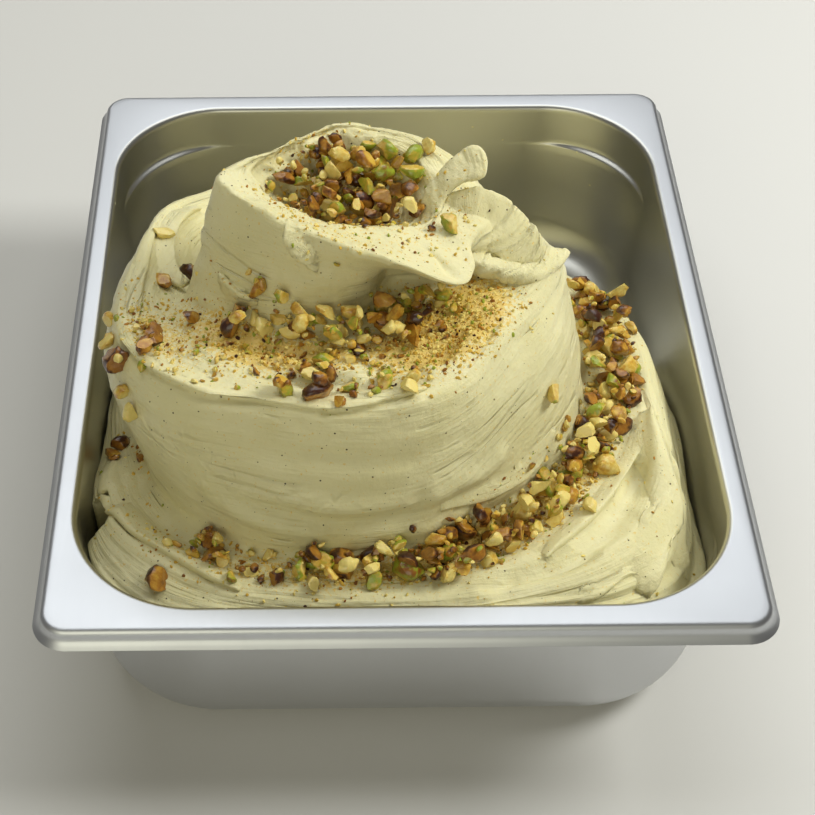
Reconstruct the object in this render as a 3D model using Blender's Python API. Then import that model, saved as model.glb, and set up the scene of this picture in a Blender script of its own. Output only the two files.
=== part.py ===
"""A deep half-size steel display pan filled with swirled pistachio gelato and chopped pistachios.

All sizes here are in millimetres and are turned into metres where a mesh is made.
The origin is the centre of the pan's underside, X across the pan, Y along it, +Z up.
The gelato is one spiral: a ledge that runs down clockwise round a central axis, with a wall
above it. It is drawn as closed rings round that axis, each ring a few stations of
(azimuth in degrees, radius, height over the pan's rim), joined by rounded corners.
"""

import math
import random

import bmesh
import bpy
import numpy as np
from mathutils import Matrix, Vector
from mathutils.bvhtree import BVHTree

MM = 0.001

# The pan: half-size food pan in pressed sheet.
PAN_WIDTH = 265.0
PAN_LENGTH = 325.0
PAN_DEPTH = 80.0
SHEET = 0.8
OPENING_HALF_X = 120.5
OPENING_HALF_Y = 148.0
WALL_TAPER = math.radians(3.0)
UPPER_CORNER = 46.0
LOWER_CORNER = 52.0
SHOULDER_DEPTH = 19.0
SHOULDER_HEIGHT = 2.0
FLOOR_FILLET = 18.0
MOUTH_FILLET = 2.5
RIM_FILLET = 2.5
RIM_FLARE = 2.8
RIM_DROP = 3.6
LIP_DROP = 6.8
LIP_CORNER = 13.0
CORNER_STEPS = 7
FILLET_STEPS = 4
SMALL_FILLET_STEPS = 2

# The gelato: the swirl's axis, and its clearance to the steel.
AXIS_X = -25.0
AXIS_Y = -20.0
CLEARANCE = 0.9
AZIMUTHS = 84
BOWL_HEIGHT = 75.0
BOWL_SHARE = 0.62

# Inner edge of the top roll, round the bowl that holds the nuts.
CREST = [
    (12, 39, 86), (28, 37, 88), (60, 29, 90), (90, 26, 91), (120, 22, 92), (150, 24, 92), (189, 29, 93),
    (205, 26, 91), (227, 22, 89), (255, 21, 87), (282, 23, 86), (320, 31, 83), (335, 40, 81), (352, 41, 83),
]
# Outer edge of the top roll, which overhangs at the right front.
LIP = [
    (8, 60, 79), (20, 54, 83), (32, 46, 87), (60, 36, 90), (90, 30, 92), (120, 24, 93), (154, 25, 94),
    (176, 33, 96), (190, 42, 98), (204, 40, 98), (217, 37, 97), (245, 36, 95), (279, 41, 90), (304, 55, 82),
    (314, 66, 77), (325, 64, 76), (333, 58, 78), (340, 57, 81), (346, 61, 82), (356, 64, 79),
]
# Foot of the top roll, where the upper ledge begins.
ROLL_FOOT = [
    (8, 76, 62), (25, 74, 42), (50, 84, 8), (90, 66, 24), (125, 60, 32), (149, 59, 38), (163, 56, 39),
    (182, 55, 42), (203, 59, 49), (220, 56, 53), (234, 52, 55), (251, 48, 56), (269, 44, 56), (285, 39, 57),
    (303, 39, 58), (317, 45, 60), (326, 54, 62), (335, 61, 64), (340, 66, 68), (345, 72, 68), (356, 76, 66),
]
# Outer edge of the upper ledge, the top of the big drum wall.
DRUM_EDGE = [
    (4, 83, 54), (12, 83, 46), (25, 83, 34), (50, 92, 4), (90, 88, 18), (126, 85, 32), (147, 82, 42),
    (160, 80, 46), (180, 80, 48), (201, 87, 50), (218, 91, 52), (234, 92, 55), (250, 87, 55), (270, 87, 55),
    (290, 90, 56), (304, 88, 58), (313, 84, 60), (321, 81, 62), (330, 82, 63), (338, 84, 64), (345, 86, 65),
    (351, 86.5, 66), (357, 85, 60),
]
# The drum wall at its fullest.
BELLY = [
    (4, 90, 40), (12, 89, 35), (25, 89, 21), (50, 96, 2), (90, 98, 0), (126, 96, 6), (153, 92, 12),
    (180, 90, 20), (198, 93, 22), (215, 97, 28), (234, 98, 30), (250, 95, 30), (270, 95, 28), (290, 97, 29),
    (303, 96, 34), (312, 95, 40), (325, 95, 46), (338, 93, 46), (352, 91, 44),
]
# Foot of the drum wall, inner edge of the lower ledge.
DRUM_FOOT = [
    (9, 97, -3), (30, 98, -4), (50, 100, 0), (90, 106, -14), (126, 100, -20), (153, 92, -24), (180, 84, -24),
    (200, 82, -22), (213, 86, -15), (226, 93, -12), (240, 99, -10), (248, 101, -9), (269, 101, -8),
    (290, 102, -8), (304, 101, -7), (321, 102, -6), (335, 103, -5), (355, 101, -4),
]
# Outer ridge of the lower ledge.
RIDGE = [
    (6, 127, -2), (21, 119, -4), (35, 112, -6), (50, 108, -4), (90, 114, -24), (126, 112, -32), (153, 101, -30),
    (180, 90, -28), (200, 94, -24), (211, 105, -14), (221, 112, -12), (233, 116, -10), (248, 118, -9),
    (262, 118, -8), (281, 122, -8), (300, 133, -6), (312, 143, -4), (320, 147, -3), (329, 144, -2),
    (339, 138, -1), (351, 130, -1),
]
# Where the slope outside the ridge meets the steel. REACH means that it runs to the wall.
REACH = 200
SKIRT = [
    (355, REACH, -34), (17, 152, -55), (30, 142, -68), (50, 132, -70), (90, 124, -70), (126, 128, -70),
    (150, 118, -52), (165, REACH, -38), (180, REACH, -32), (200, REACH, -26), (215, REACH, -19),
    (240, REACH, -17), (270, REACH, -14), (300, REACH, -13), (315, REACH, -20), (325, REACH, -32),
    (335, REACH, -37),
]
FREE_FOOT_ROUND = 3.0
FOOT_LEVELS = (0.4, 0.75, 1.0)

# Undercut below the overhanging lip: azimuth, half spread, depth.
CAVITY = (312.0, 25.0, 14.0)
FOOT_HOLLOW_SHARE = 0.35
# Folds left by the spatula on the slope outside the ridge: azimuth, half spread, depth, number.
FOLDS = (340.0, 62.0, 2.6, 3)
# Grooves drawn along the upper ledge: azimuth, half spread, depth, number.
GROOVES = (262.0, 75.0, 1.3, 2)

# Corner radius and points across it, ring by ring, then points on the stretch after it.
CORNERS = {
    "bowl": (6.0, 2, 0),
    "crest": (3.2, 3, 0),
    "lip": (3.6, 3, 0),
    "under": (6.0, 1, 0),
    "roll_foot": (4.5, 2, 3),
    "drum_edge": (4.5, 3, 0),
    "belly": (22.0, 2, 0),
    "drum_foot": (5.0, 2, 0),
    "ridge": (4.5, 3, 6),
}

# The thin tongue where the spatula left the top, the ribbon that slides off beside it and the edge of
# the ledge below them: the direction of each sheet's width, its thickness, and its centre line as
# stations of (x, y, height over the rim, half width).
SHEETS = {
    "tongue": {
        "across": (-0.46, 0.79, 0.4),
        "thick": 3.6,
        "path": [
            (15, -38, 78, 4), (12, -33, 82, 5), (13, -28, 86, 6), (17, -25, 90, 7), (22, -22.5, 93.5, 7.5),
            (27, -21, 96.5, 7), (33, -20, 98, 6),
        ],
    },
    "ribbon": {
        "across": (0.45, 0.89, 0.1),
        "thick": 8.0,
        "path": [
            (15, -32, 78, 6), (23, -33, 81, 8), (31, -34, 79.5, 9), (37, -35, 76, 8.5), (42, -35, 72, 7.5),
            (48, -36, 68, 6),
        ],
    },
    "ledge": {
        "across": (0.0, 0.0, 1.0),
        "thick": 6.0,
        "path": [
            (16, -42, 71, 4), (24, -43.5, 72.5, 4.5), (33, -46, 71.5, 4.5), (38, -48, 70, 4.5),
            (43, -49.5, 68, 4.5), (48, -50, 66.5, 4.5), (53, -47, 65, 4.5), (57, -41, 64, 4), (60, -33, 63.5, 3),
        ],
    },
}
PATH_STEPS = 2
THINNEST_END = 0.1
SHEET_SIDES = 8

# Pistachio pieces that stand out: azimuth, distance from the axis, length.
LARGE_PIECES = [
    (265, 103, 8), (272, 104, 13), (278, 102, 10), (284, 110, 15), (245, 108, 10), (243, 103, 8), (239, 124, 11),
    (254, 111, 6), (259, 113, 7), (251, 116, 6), (202, 95, 9), (213, 92, 12), (198, 90, 9), (221, 96, 8),
    (298, 102, 10), (293, 102, 9), (297, 104, 8), (302, 111, 9), (302, 104, 8), (308, 116, 9), (290, 103, 7),
    (293, 110, 9), (298, 117, 9), (310, 107, 9), (314, 118, 8), (319, 126, 8), (317, 107, 8), (324, 110, 11),
    (330, 121, 12), (337, 115, 8), (340, 119, 10), (335, 107, 8), (19, 111, 9), (15, 116, 8), (13, 107, 10),
    (10, 109, 8), (7, 116, 8), (7, 124, 7), (5, 119, 8), (0, 114, 8), (356, 121, 8), (353, 111, 12),
    (352, 121, 9), (348, 121, 9), (349, 115, 8), (346, 111, 9), (342, 109, 8), (326, 97, 10), (214, 79, 11),
    (217, 85, 8), (215, 64, 8), (231, 57, 14), (242, 53, 8), (259, 50, 9), (253, 52, 8), (273, 50, 10),
    (279, 48, 9), (279, 58, 7), (292, 49, 9), (278, 45, 8), (298, 42, 9), (318, 53, 9), (299, 60, 12),
    (264, 71, 9), (266, 80, 14), (284, 74, 9), (290, 78, 8), (288, 84, 9), (151, 19, 9), (167, 19, 8),
    (143, 15, 8), (115, 12, 8), (82, 15, 10), (51, 22, 9), (29, 29, 8), (28, 35, 9), (11, 26, 9),
    (350, 12, 11), (351, 22, 11), (348, 33, 8), (327, 18, 9), (222, 25, 9), (337, 47, 9), (161, 74, 8),
    (183, 66, 8), (170, 58, 9), (234, 46, 9),
]
# Smaller pieces strewn between: azimuth from and to, distance from and to, number, length.
STREWN = [
    (288, 345, 104, 118, 13, 6.5),
    (345, 380, 106, 124, 11, 6.5),
    (225, 288, 102, 114, 6, 5.5),
    (230, 318, 44, 62, 9, 6.5),
    (0, 360, 2, 24, 10, 7.0),
    (60, 130, 72, 84, 5, 7.0),
]
PIECE_WIDTH = 0.72
PIECE_HEIGHT = 0.62
PIECE_SINK = 0.2
PIECE_UNEVEN = 0.15
DROP_HEIGHT = 130.0
FLATTEST = 0.1
CROWD = 0.62
LENGTH_SPREAD = (0.8, 1.2)
SEED = 11

# Finishes: colour, metallic, roughness.
STEEL = ((0.60, 0.60, 0.59), 1.0, 0.3)
GELATO = ((0.62, 0.60, 0.33), 0.0, 0.45)
PAN_SHARP = math.radians(40)
GELATO_SHARP = math.radians(50)

# How finely a distance is searched, the step past a hit, and the least length that is divided by.
HALVINGS = 32
RAY_STEP = 0.1
TINY = 1e-6
# A rounded corner takes at most this share of each stretch beside it.
CORNER_SHARE = 0.45


def material(name, colour, metallic, roughness):
    made = bpy.data.materials.new(name)
    made.use_nodes = True
    shader = made.node_tree.nodes["Principled BSDF"]
    shader.inputs["Base Color"].default_value = (*colour, 1.0)
    shader.inputs["Metallic"].default_value = metallic
    shader.inputs["Roughness"].default_value = roughness
    return made


def mesh_object(name, vertices, faces, finish=None):
    """An object from points in millimetres."""
    mesh = bpy.data.meshes.new(name)
    mesh.from_pydata([tuple(float(c) * MM for c in v) for v in vertices], [], faces)
    mesh.validate()
    made = bpy.data.objects.new(name, mesh)
    bpy.context.scene.collection.objects.link(made)
    if finish:
        mesh.materials.append(finish)
    return made


def skin_faces(rings, points):
    """Quads between closed rings of equal length, and a polygon over the first and the last."""
    faces = [tuple(reversed(range(points)))]
    for ring in range(rings - 1):
        for i in range(points):
            j = (i + 1) % points
            low, high = ring * points, (ring + 1) * points
            faces.append((low + i, low + j, high + j, high + i))
    faces.append(tuple((rings - 1) * points + i for i in range(points)))
    return faces


def rounded_rectangle(half_x, half_y, corner, height):
    """Points anticlockwise from above, CORNER_STEPS + 1 in each corner."""
    points = []
    for quarter, (side_x, side_y) in enumerate(((1, 1), (-1, 1), (-1, -1), (1, -1))):
        for step in range(CORNER_STEPS + 1):
            turn = math.radians(90) * (quarter + step / CORNER_STEPS)
            x = side_x * (half_x - corner) + corner * math.cos(turn)
            y = side_y * (half_y - corner) + corner * math.sin(turn)
            points.append((x, y, height))
    return points


def wall_ring(depth, inset, corner):
    """The wall's outline at a depth below the rim, moved inwards by inset."""
    back = inset + depth * math.tan(WALL_TAPER)
    return rounded_rectangle(OPENING_HALF_X - back, OPENING_HALF_Y - back, corner - back, PAN_DEPTH - depth)


def wall_rings(out):
    """One face of the wall from the floor up to the mouth; out is how far it lies outside the inner face."""
    floor_depth = PAN_DEPTH - SHEET + out
    fillet = FLOOR_FILLET + out
    rings = []
    for step in range(FILLET_STEPS + 1):
        turn = math.radians(90) * step / FILLET_STEPS
        depth = floor_depth - fillet * (1 - math.cos(turn))
        rings.append(wall_ring(depth, fillet * (1 - math.sin(turn)) - out, LOWER_CORNER))
    rings.append(wall_ring(SHOULDER_DEPTH + SHOULDER_HEIGHT, -out, LOWER_CORNER))
    rings.append(wall_ring(SHOULDER_DEPTH, -out, UPPER_CORNER))
    bend = MOUTH_FILLET - out
    for step in range(SMALL_FILLET_STEPS + 1):
        turn = math.radians(90) * step / SMALL_FILLET_STEPS
        spread = bend * (1 - math.cos(turn))
        depth = MOUTH_FILLET - bend * math.sin(turn)
        rings.append(wall_ring(depth, -out - spread, UPPER_CORNER))
    return rings


def rim_rings(under):
    """One face of the rim from its flat top out to the lip; under is how far it lies below the top face."""
    half_x, half_y = PAN_WIDTH / 2 - RIM_FLARE, PAN_LENGTH / 2 - RIM_FLARE
    corner = LIP_CORNER - RIM_FLARE
    bend = RIM_FILLET - under
    rings = []
    for step in range(SMALL_FILLET_STEPS + 1):
        turn = math.radians(90) * step / SMALL_FILLET_STEPS
        inset = RIM_FILLET - bend * math.sin(turn)
        height = PAN_DEPTH - RIM_FILLET + bend * math.cos(turn)
        rings.append(rounded_rectangle(half_x - inset, half_y - inset, corner - inset, height))
    rings.append(rounded_rectangle(half_x - under, half_y - under, corner - under, PAN_DEPTH - RIM_DROP))
    spread = RIM_FLARE - under
    rings.append(rounded_rectangle(half_x + spread, half_y + spread, corner + spread, PAN_DEPTH - LIP_DROP))
    return rings


def make_pan(finish):
    """A pressed pan: one closed sheet, from the inside of the floor over the rim to the underside."""
    inside = wall_rings(0.0) + rim_rings(0.0)
    outside = wall_rings(SHEET) + rim_rings(SHEET)
    rings = inside + list(reversed(outside))
    points = len(rings[0])
    faces = skin_faces(len(rings), points)
    faces = [tuple(reversed(face)) for face in faces]
    pan = mesh_object("steel_pan", [point for ring in rings for point in ring], faces, finish)
    pan.data.shade_smooth()
    pan.data.set_sharp_from_angle(angle=PAN_SHARP)
    return pan


def ring_at(stations, azimuths):
    """Radius and height of a closed ring at each azimuth, on a smooth curve through its stations."""
    table = np.array(sorted(stations), float)
    angle = np.concatenate([table[:, 0] - 360, table[:, 0], table[:, 0] + 360])
    value = np.concatenate([table[:, 1:]] * 3)
    span = np.diff(angle)[:, None]
    rise = np.diff(value, axis=0) / span
    slope = np.zeros_like(value)
    slope[1:-1] = (rise[:-1] * span[1:] + rise[1:] * span[:-1]) / (span[:-1] + span[1:])
    wanted = np.asarray(azimuths, float) % 360
    i = np.searchsorted(angle, wanted, side="right") - 1
    t = ((wanted - angle[i]) / span[i, 0])[:, None]
    start = (1 + 2 * t) * (1 - t) ** 2 * value[i] + t * (1 - t) ** 2 * span[i] * slope[i]
    end = t * t * (3 - 2 * t) * value[i + 1] + t * t * (t - 1) * span[i] * slope[i + 1]
    return start + end


def wall_distance(azimuths, height):
    """Distance from the swirl's axis to the steel less the clearance, at a height over the rim."""
    turn = np.radians(np.asarray(azimuths, float))
    depth = -np.asarray(height, float)
    lift = np.clip(PAN_DEPTH - SHEET - CLEARANCE - depth, 0, FLOOR_FILLET)
    inset = CLEARANCE + depth * math.tan(WALL_TAPER)
    inset = inset + FLOOR_FILLET - np.sqrt(FLOOR_FILLET**2 - (FLOOR_FILLET - lift) ** 2)
    half_x, half_y = OPENING_HALF_X - inset, OPENING_HALF_Y - inset
    corner = LOWER_CORNER - inset
    near, far = np.zeros_like(turn), np.full_like(turn, PAN_LENGTH)
    for _ in range(HALVINGS):
        middle = (near + far) / 2
        side_x = np.abs(AXIS_X + middle * np.cos(turn)) - (half_x - corner)
        side_y = np.abs(AXIS_Y + middle * np.sin(turn)) - (half_y - corner)
        reach = np.hypot(np.maximum(side_x, 0), np.maximum(side_y, 0))
        reach = reach + np.minimum(np.maximum(side_x, side_y), 0) - corner
        near = np.where(reach < 0, middle, near)
        far = np.where(reach < 0, far, middle)
    return near


def spread(azimuths, centre, half):
    """One at an azimuth, fading to nothing at its half spread on both sides."""
    away = (np.asarray(azimuths) - centre + 180) % 360 - 180
    return np.exp(-2 * (away / half) ** 2)


def corner_points(before, corner, after, radius, points):
    """Points across a rounded corner, from one side to the other."""
    back, ahead = before - corner, after - corner
    back_length = np.maximum(np.linalg.norm(back, axis=1, keepdims=True), TINY)
    ahead_length = np.maximum(np.linalg.norm(ahead, axis=1, keepdims=True), TINY)
    cut = np.minimum(radius, CORNER_SHARE * np.minimum(back_length, ahead_length))
    first, last = corner + back / back_length * cut, corner + ahead / ahead_length * cut
    if points == 1:
        return [(first + 2 * corner + last) / 4]
    shares = [step / (points - 1) for step in range(points)]
    return [(1 - t) ** 2 * first + 2 * t * (1 - t) * corner + t * t * last for t in shares]


def outward(line):
    """Unit normals of a stretch between two stations, upwards or away from the axis."""
    along = line[-1] - line[0]
    normal = np.stack([-along[:, 1], along[:, 0]], -1)
    return normal / np.maximum(np.linalg.norm(normal, axis=1, keepdims=True), TINY)


def stretch_points(first, last, points, relief, azimuths):
    """Points between two corners, with folds or grooves of a given spread across them."""
    centre, half, depth, number = relief
    normal = outward([first, last])
    fade = (depth * spread(azimuths, centre, half))[:, None]
    made = []
    for step in range(1, points + 1):
        share = step / (points + 1)
        wave = abs(math.sin(math.pi * number * share + 0.5 * math.pi)) - 1.0
        made.append(first + (last - first) * share + normal * fade * wave)
    return made


def gelato_sections(azimuths):
    """The gelato's outline at every azimuth: an array of stations of radius and height over the rim."""
    crest, lip, foot = (ring_at(ring, azimuths) for ring in (CREST, LIP, ROLL_FOOT))
    centre, half, depth = CAVITY
    hollow = (spread(azimuths, centre, half) * depth)[:, None] * np.array([[1.0, 0.0]])
    foot = foot - FOOT_HOLLOW_SHARE * hollow
    bowl = np.stack([crest[:, 0] * BOWL_SHARE, np.full(len(azimuths), BOWL_HEIGHT)], -1)
    skirt = ring_at(SKIRT, azimuths)
    skirt[:, 0] = np.minimum(skirt[:, 0], wall_distance(azimuths, skirt[:, 1]))
    rings = {
        "bowl": bowl,
        "crest": crest,
        "lip": lip,
        "under": (lip + foot) / 2 - hollow,
        "roll_foot": foot,
        "drum_edge": ring_at(DRUM_EDGE, azimuths),
        "belly": ring_at(BELLY, azimuths),
        "drum_foot": ring_at(DRUM_FOOT, azimuths),
        "ridge": ring_at(RIDGE, azimuths),
        "skirt": skirt,
    }
    middle = np.stack([np.zeros(len(azimuths)), np.full(len(azimuths), BOWL_HEIGHT)], -1)
    chain = [middle] + list(rings.values())
    corners = {}
    for i, name in enumerate(CORNERS, start=1):
        radius, points, _ = CORNERS[name]
        corners[name] = corner_points(chain[i - 1], chain[i], chain[i + 1], radius, points)
    outline = []
    names = list(CORNERS)
    for i, name in enumerate(names):
        outline += corners[name]
        points = CORNERS[name][2]
        if points:
            last = skirt if name == names[-1] else corners[names[i + 1]][0]
            relief = FOLDS if name == names[-1] else GROOVES
            outline += stretch_points(outline[-1], last, points, relief, azimuths)
    outline.append(skirt)
    floor = SHEET + CLEARANCE - PAN_DEPTH
    for share in FOOT_LEVELS:
        level = skirt[:, 1] + (floor - skirt[:, 1]) * share
        free = skirt[:, 0] - FREE_FOOT_ROUND * (1 - math.sqrt(1 - share**2))
        outline.append(np.stack([np.minimum(free, wall_distance(azimuths, level)), level], -1))
    return np.stack(outline, 1)


def make_gelato_body(finish):
    """The swirl as one closed skin, from the middle of the bowl out and down to the pan's floor."""
    azimuths = np.arange(AZIMUTHS) * 360.0 / AZIMUTHS
    outline = gelato_sections(azimuths)
    turn = np.radians(azimuths)[:, None]
    x = AXIS_X + outline[..., 0] * np.cos(turn)
    y = AXIS_Y + outline[..., 0] * np.sin(turn)
    z = PAN_DEPTH + outline[..., 1]
    points = np.stack([x, y, z], -1).transpose(1, 0, 2)
    rings = points.shape[0]
    faces = [tuple(reversed(face)) for face in skin_faces(rings, AZIMUTHS)]
    return mesh_object("gelato", points.reshape(-1, 3), faces, finish)


def smooth_path(stations, steps):
    """Stations of a path with steps more between each two, on a smooth curve."""
    table = np.array([stations[0]] + list(stations) + [stations[-1]], float)
    made = []
    for i in range(1, len(table) - 2):
        for step in range(steps):
            t = step / steps
            before, start, end, after = table[i - 1 : i + 3]
            made.append(
                0.5
                * (
                    2 * start
                    + (end - before) * t
                    + (2 * before - 5 * start + 4 * end - after) * t**2
                    + (3 * start - before - 3 * end + after) * t**3
                )
            )
    return made + [table[-2]]


def make_sheet(name, stations, across, thick):
    """A thin sheet of gelato along a path, with an oval section and round ends."""
    across = Vector(across).normalized()
    path = smooth_path(stations, PATH_STEPS)
    steps = np.linalg.norm(np.diff([station[:3] for station in path], axis=0), axis=1)
    run = np.concatenate([[0], np.cumsum(steps)])
    vertices = []
    for i, (x, y, height, half) in enumerate(path):
        before, after = path[max(i - 1, 0)], path[min(i + 1, len(path) - 1)]
        along = Vector(after[:3] - before[:3]).normalized()
        side = (across - along * across.dot(along)).normalized()
        normal = along.cross(side)
        centre = Vector((x, y, PAN_DEPTH + height))
        end = min(run[i], run[-1] - run[i], half) / half
        share = max(math.sqrt(1 - (1 - end) ** 2), THINNEST_END)
        for step in range(SHEET_SIDES):
            turn = math.tau * step / SHEET_SIDES
            wide = half * share * math.cos(turn)
            deep = thick / 2 * math.sqrt(share) * math.sin(turn)
            vertices.append(centre + side * wide + normal * deep)
    return mesh_object(name, vertices, skin_faces(len(path), SHEET_SIDES))


def make_piece(name, place, normal, length, draw):
    """A chopped pistachio: an uneven low-sided lump lying along the surface it rests on."""
    shape = bmesh.new()
    bmesh.ops.create_icosphere(shape, subdivisions=1, radius=0.5)
    size = Vector((length, length * PIECE_WIDTH, length * PIECE_HEIGHT))
    for vertex in shape.verts:
        uneven = 1 + draw.uniform(-PIECE_UNEVEN, PIECE_UNEVEN)
        vertex.co = Vector(a * b for a, b in zip(vertex.co, size)) * uneven
    tilt = Vector((0, 0, 1)).rotation_difference(normal).to_matrix().to_4x4()
    turn = Matrix.Rotation(draw.uniform(0, math.tau), 4, "Z")
    lift = (0.5 - PIECE_SINK) * length * PIECE_HEIGHT
    shape.transform(Matrix.Translation(place + normal * lift) @ tilt @ turn)
    vertices = [vertex.co.copy() for vertex in shape.verts]
    faces = [tuple(vertex.index for vertex in face.verts) for face in shape.faces]
    shape.free()
    return mesh_object(name, vertices, faces)


def surface_under(tree, azimuth, distance):
    """The place and normal of the gelato's upper side at a polar place, in millimetres.

    Where a lip hangs over a ledge there are two such places, and the one at the height of the
    nearest ring is taken.
    """
    turn = math.radians(azimuth)
    x = AXIS_X + distance * math.cos(turn)
    y = AXIS_Y + distance * math.sin(turn)
    nearest = min(
        (ring_at(ring, [azimuth])[0] for ring in (CREST, ROLL_FOOT, DRUM_EDGE, DRUM_FOOT, RIDGE)),
        key=lambda station: abs(station[0] - distance),
    )
    found = []
    start = Vector((x, y, PAN_DEPTH + DROP_HEIGHT)) * MM
    while True:
        place, normal, _, _ = tree.ray_cast(start, Vector((0, 0, -1)))
        if place is None:
            break
        if normal.z > FLATTEST:
            found.append((place / MM, normal))
        start = place - Vector((0, 0, RAY_STEP * MM))
    return min(found, key=lambda hit: abs(hit[0].z - PAN_DEPTH - nearest[1]), default=None)


def make_pieces(body):
    """The nuts that stand out, then smaller ones strewn where they don't crowd the others."""
    tree = BVHTree.FromObject(body, bpy.context.evaluated_depsgraph_get())
    draw = random.Random(SEED)
    wanted = list(LARGE_PIECES)
    for azimuth_from, azimuth_to, near, far, number, length in STREWN:
        for _ in range(number):
            azimuth = draw.uniform(azimuth_from, azimuth_to) % 360
            wanted.append((azimuth, draw.uniform(near, far), length * draw.uniform(*LENGTH_SPREAD)))
    made, taken = [], []
    for azimuth, distance, length in wanted:
        found = surface_under(tree, azimuth, distance)
        if found is None:
            continue
        place, normal = found
        room = wall_distance([azimuth], [min(place.z - PAN_DEPTH, 0.0)])[0] - length / 2
        if distance > room:
            found = surface_under(tree, azimuth, room)
            if found is None:
                continue
            place, normal = found
        if any((place - other).length < CROWD * (length + size) / 2 for other, size in taken):
            continue
        taken.append((place, length))
        made.append(make_piece(f"piece_{len(made):03d}", place, normal, length, draw))
    return made


def fuse(body, extras):
    """One Boolean union of the body with everything in a collection, then applied."""
    group = bpy.data.collections.new("fused")
    for extra in extras:
        bpy.context.scene.collection.objects.unlink(extra)
        group.objects.link(extra)
    bpy.context.scene.collection.children.link(group)
    union = body.modifiers.new("fused pieces", "BOOLEAN")
    union.operation = "UNION"
    union.operand_type = "COLLECTION"
    union.collection = group
    union.solver = "MANIFOLD"
    fused = bpy.data.meshes.new_from_object(body.evaluated_get(bpy.context.evaluated_depsgraph_get()))
    body.modifiers.remove(union)
    body.data = fused
    for extra in extras:
        bpy.data.objects.remove(extra, do_unlink=True)
    bpy.data.collections.remove(group)


def keep_outer_skin(body):
    """Fills what the union sealed and drops loose scraps, by keeping the largest shell alone."""
    shape = bmesh.new()
    shape.from_mesh(body.data)
    bmesh.ops.triangulate(shape, faces=shape.faces)
    left = set(shape.faces)
    shells = []
    while left:
        shell, edge = set(), [left.pop()]
        while edge:
            face = edge.pop()
            shell.add(face)
            for side in face.edges:
                for other in side.link_faces:
                    if other in left:
                        left.remove(other)
                        edge.append(other)
        shells.append(shell)
    outer = max(shells, key=len)
    loose = [face for shell in shells if shell is not outer for face in shell]
    bmesh.ops.delete(shape, geom=loose, context="FACES")
    shape.to_mesh(body.data)
    shape.free()


def make_gelato(finish):
    body = make_gelato_body(finish)
    bpy.context.view_layer.update()
    extras = [make_sheet(name, row["path"], row["across"], row["thick"]) for name, row in SHEETS.items()]
    extras += make_pieces(body)
    fuse(body, extras)
    keep_outer_skin(body)
    body.data.shade_smooth()
    body.data.set_sharp_from_angle(angle=GELATO_SHARP)
    return body


def main():
    for old in list(bpy.data.objects):
        bpy.data.objects.remove(old, do_unlink=True)
    make_pan(material("satin_steel", *STEEL))
    make_gelato(material("pistachio_gelato", *GELATO))


main()
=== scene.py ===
"""The look of a deep half-size steel display pan filled with swirled pistachio gelato and chopped pistachios.

Lengths are in metres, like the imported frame. The shape tables are in millimetres, because a maker
measures gelato that way, and are turned into metres where a mesh is made.
"""

import math
import random

import bpy
import numpy as np
from bpy.props import FloatProperty, FloatVectorProperty, IntProperty, PointerProperty
from mathutils import Matrix, Vector, kdtree
from mathutils.bvhtree import BVHTree


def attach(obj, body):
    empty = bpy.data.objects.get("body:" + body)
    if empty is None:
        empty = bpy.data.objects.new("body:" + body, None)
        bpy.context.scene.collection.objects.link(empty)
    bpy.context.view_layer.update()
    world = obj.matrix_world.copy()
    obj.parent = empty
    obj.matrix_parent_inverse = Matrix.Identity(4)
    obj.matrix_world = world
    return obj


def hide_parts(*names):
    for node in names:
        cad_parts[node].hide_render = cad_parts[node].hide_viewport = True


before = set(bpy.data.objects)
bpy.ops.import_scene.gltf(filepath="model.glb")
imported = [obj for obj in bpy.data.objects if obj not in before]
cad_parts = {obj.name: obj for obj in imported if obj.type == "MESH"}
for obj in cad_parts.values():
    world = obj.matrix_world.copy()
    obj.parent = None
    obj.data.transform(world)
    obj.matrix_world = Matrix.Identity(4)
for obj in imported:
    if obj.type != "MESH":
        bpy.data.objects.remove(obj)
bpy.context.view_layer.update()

bl_info = {
    "name": "Gelato Display Pan",
    "version": (1, 0, 0),
    "blender": (4, 5, 0),
    "location": "3D View > Sidebar > Gelato",
    "description": "Makes a steel display pan of swirled pistachio gelato with chopped nuts",
    "category": "Add Mesh",
}

MM = 0.001

# The pan, in millimetres, as in the CAD source.
PAN_WIDTH = 265.0
PAN_LENGTH = 325.0
PAN_DEPTH = 80.0
SHEET = 0.8
OPENING_HALF_X = 120.5
OPENING_HALF_Y = 148.0
WALL_TAPER = math.radians(3.0)
UPPER_CORNER = 46.0
LOWER_CORNER = 52.0
SHOULDER_DEPTH = 19.0
SHOULDER_HEIGHT = 2.0
FLOOR_FILLET = 18.0
MOUTH_FILLET = 2.5
RIM_FILLET = 2.5
RIM_FLARE = 2.8
RIM_DROP = 3.6
LIP_DROP = 6.8
LIP_CORNER = 13.0
CORNER_STEPS = 22
SIDE_STEPS = 6
FILLET_STEPS = 12
SMALL_FILLET_STEPS = 6
# Rings on the floor and on the straight wall, as shares of the way, and the inmost ring's distance.
FLOOR_SHARES = (0.25, 0.6)
FLOOR_RING_INSET = 40.0
WALL_SHARES = (0.3, 0.6, 0.9)

# The gelato stands round the swirl's axis, clear of the steel. The bowl's floor lies at BOWL_HEIGHT over
# the rim and takes up BOWL_SHARE of the crest's radius.
AXIS_X = -25.0
AXIS_Y = -20.0
CLEARANCE = 0.9
BOWL_HEIGHT = 75.0
BOWL_SHARE = 0.62
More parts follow.
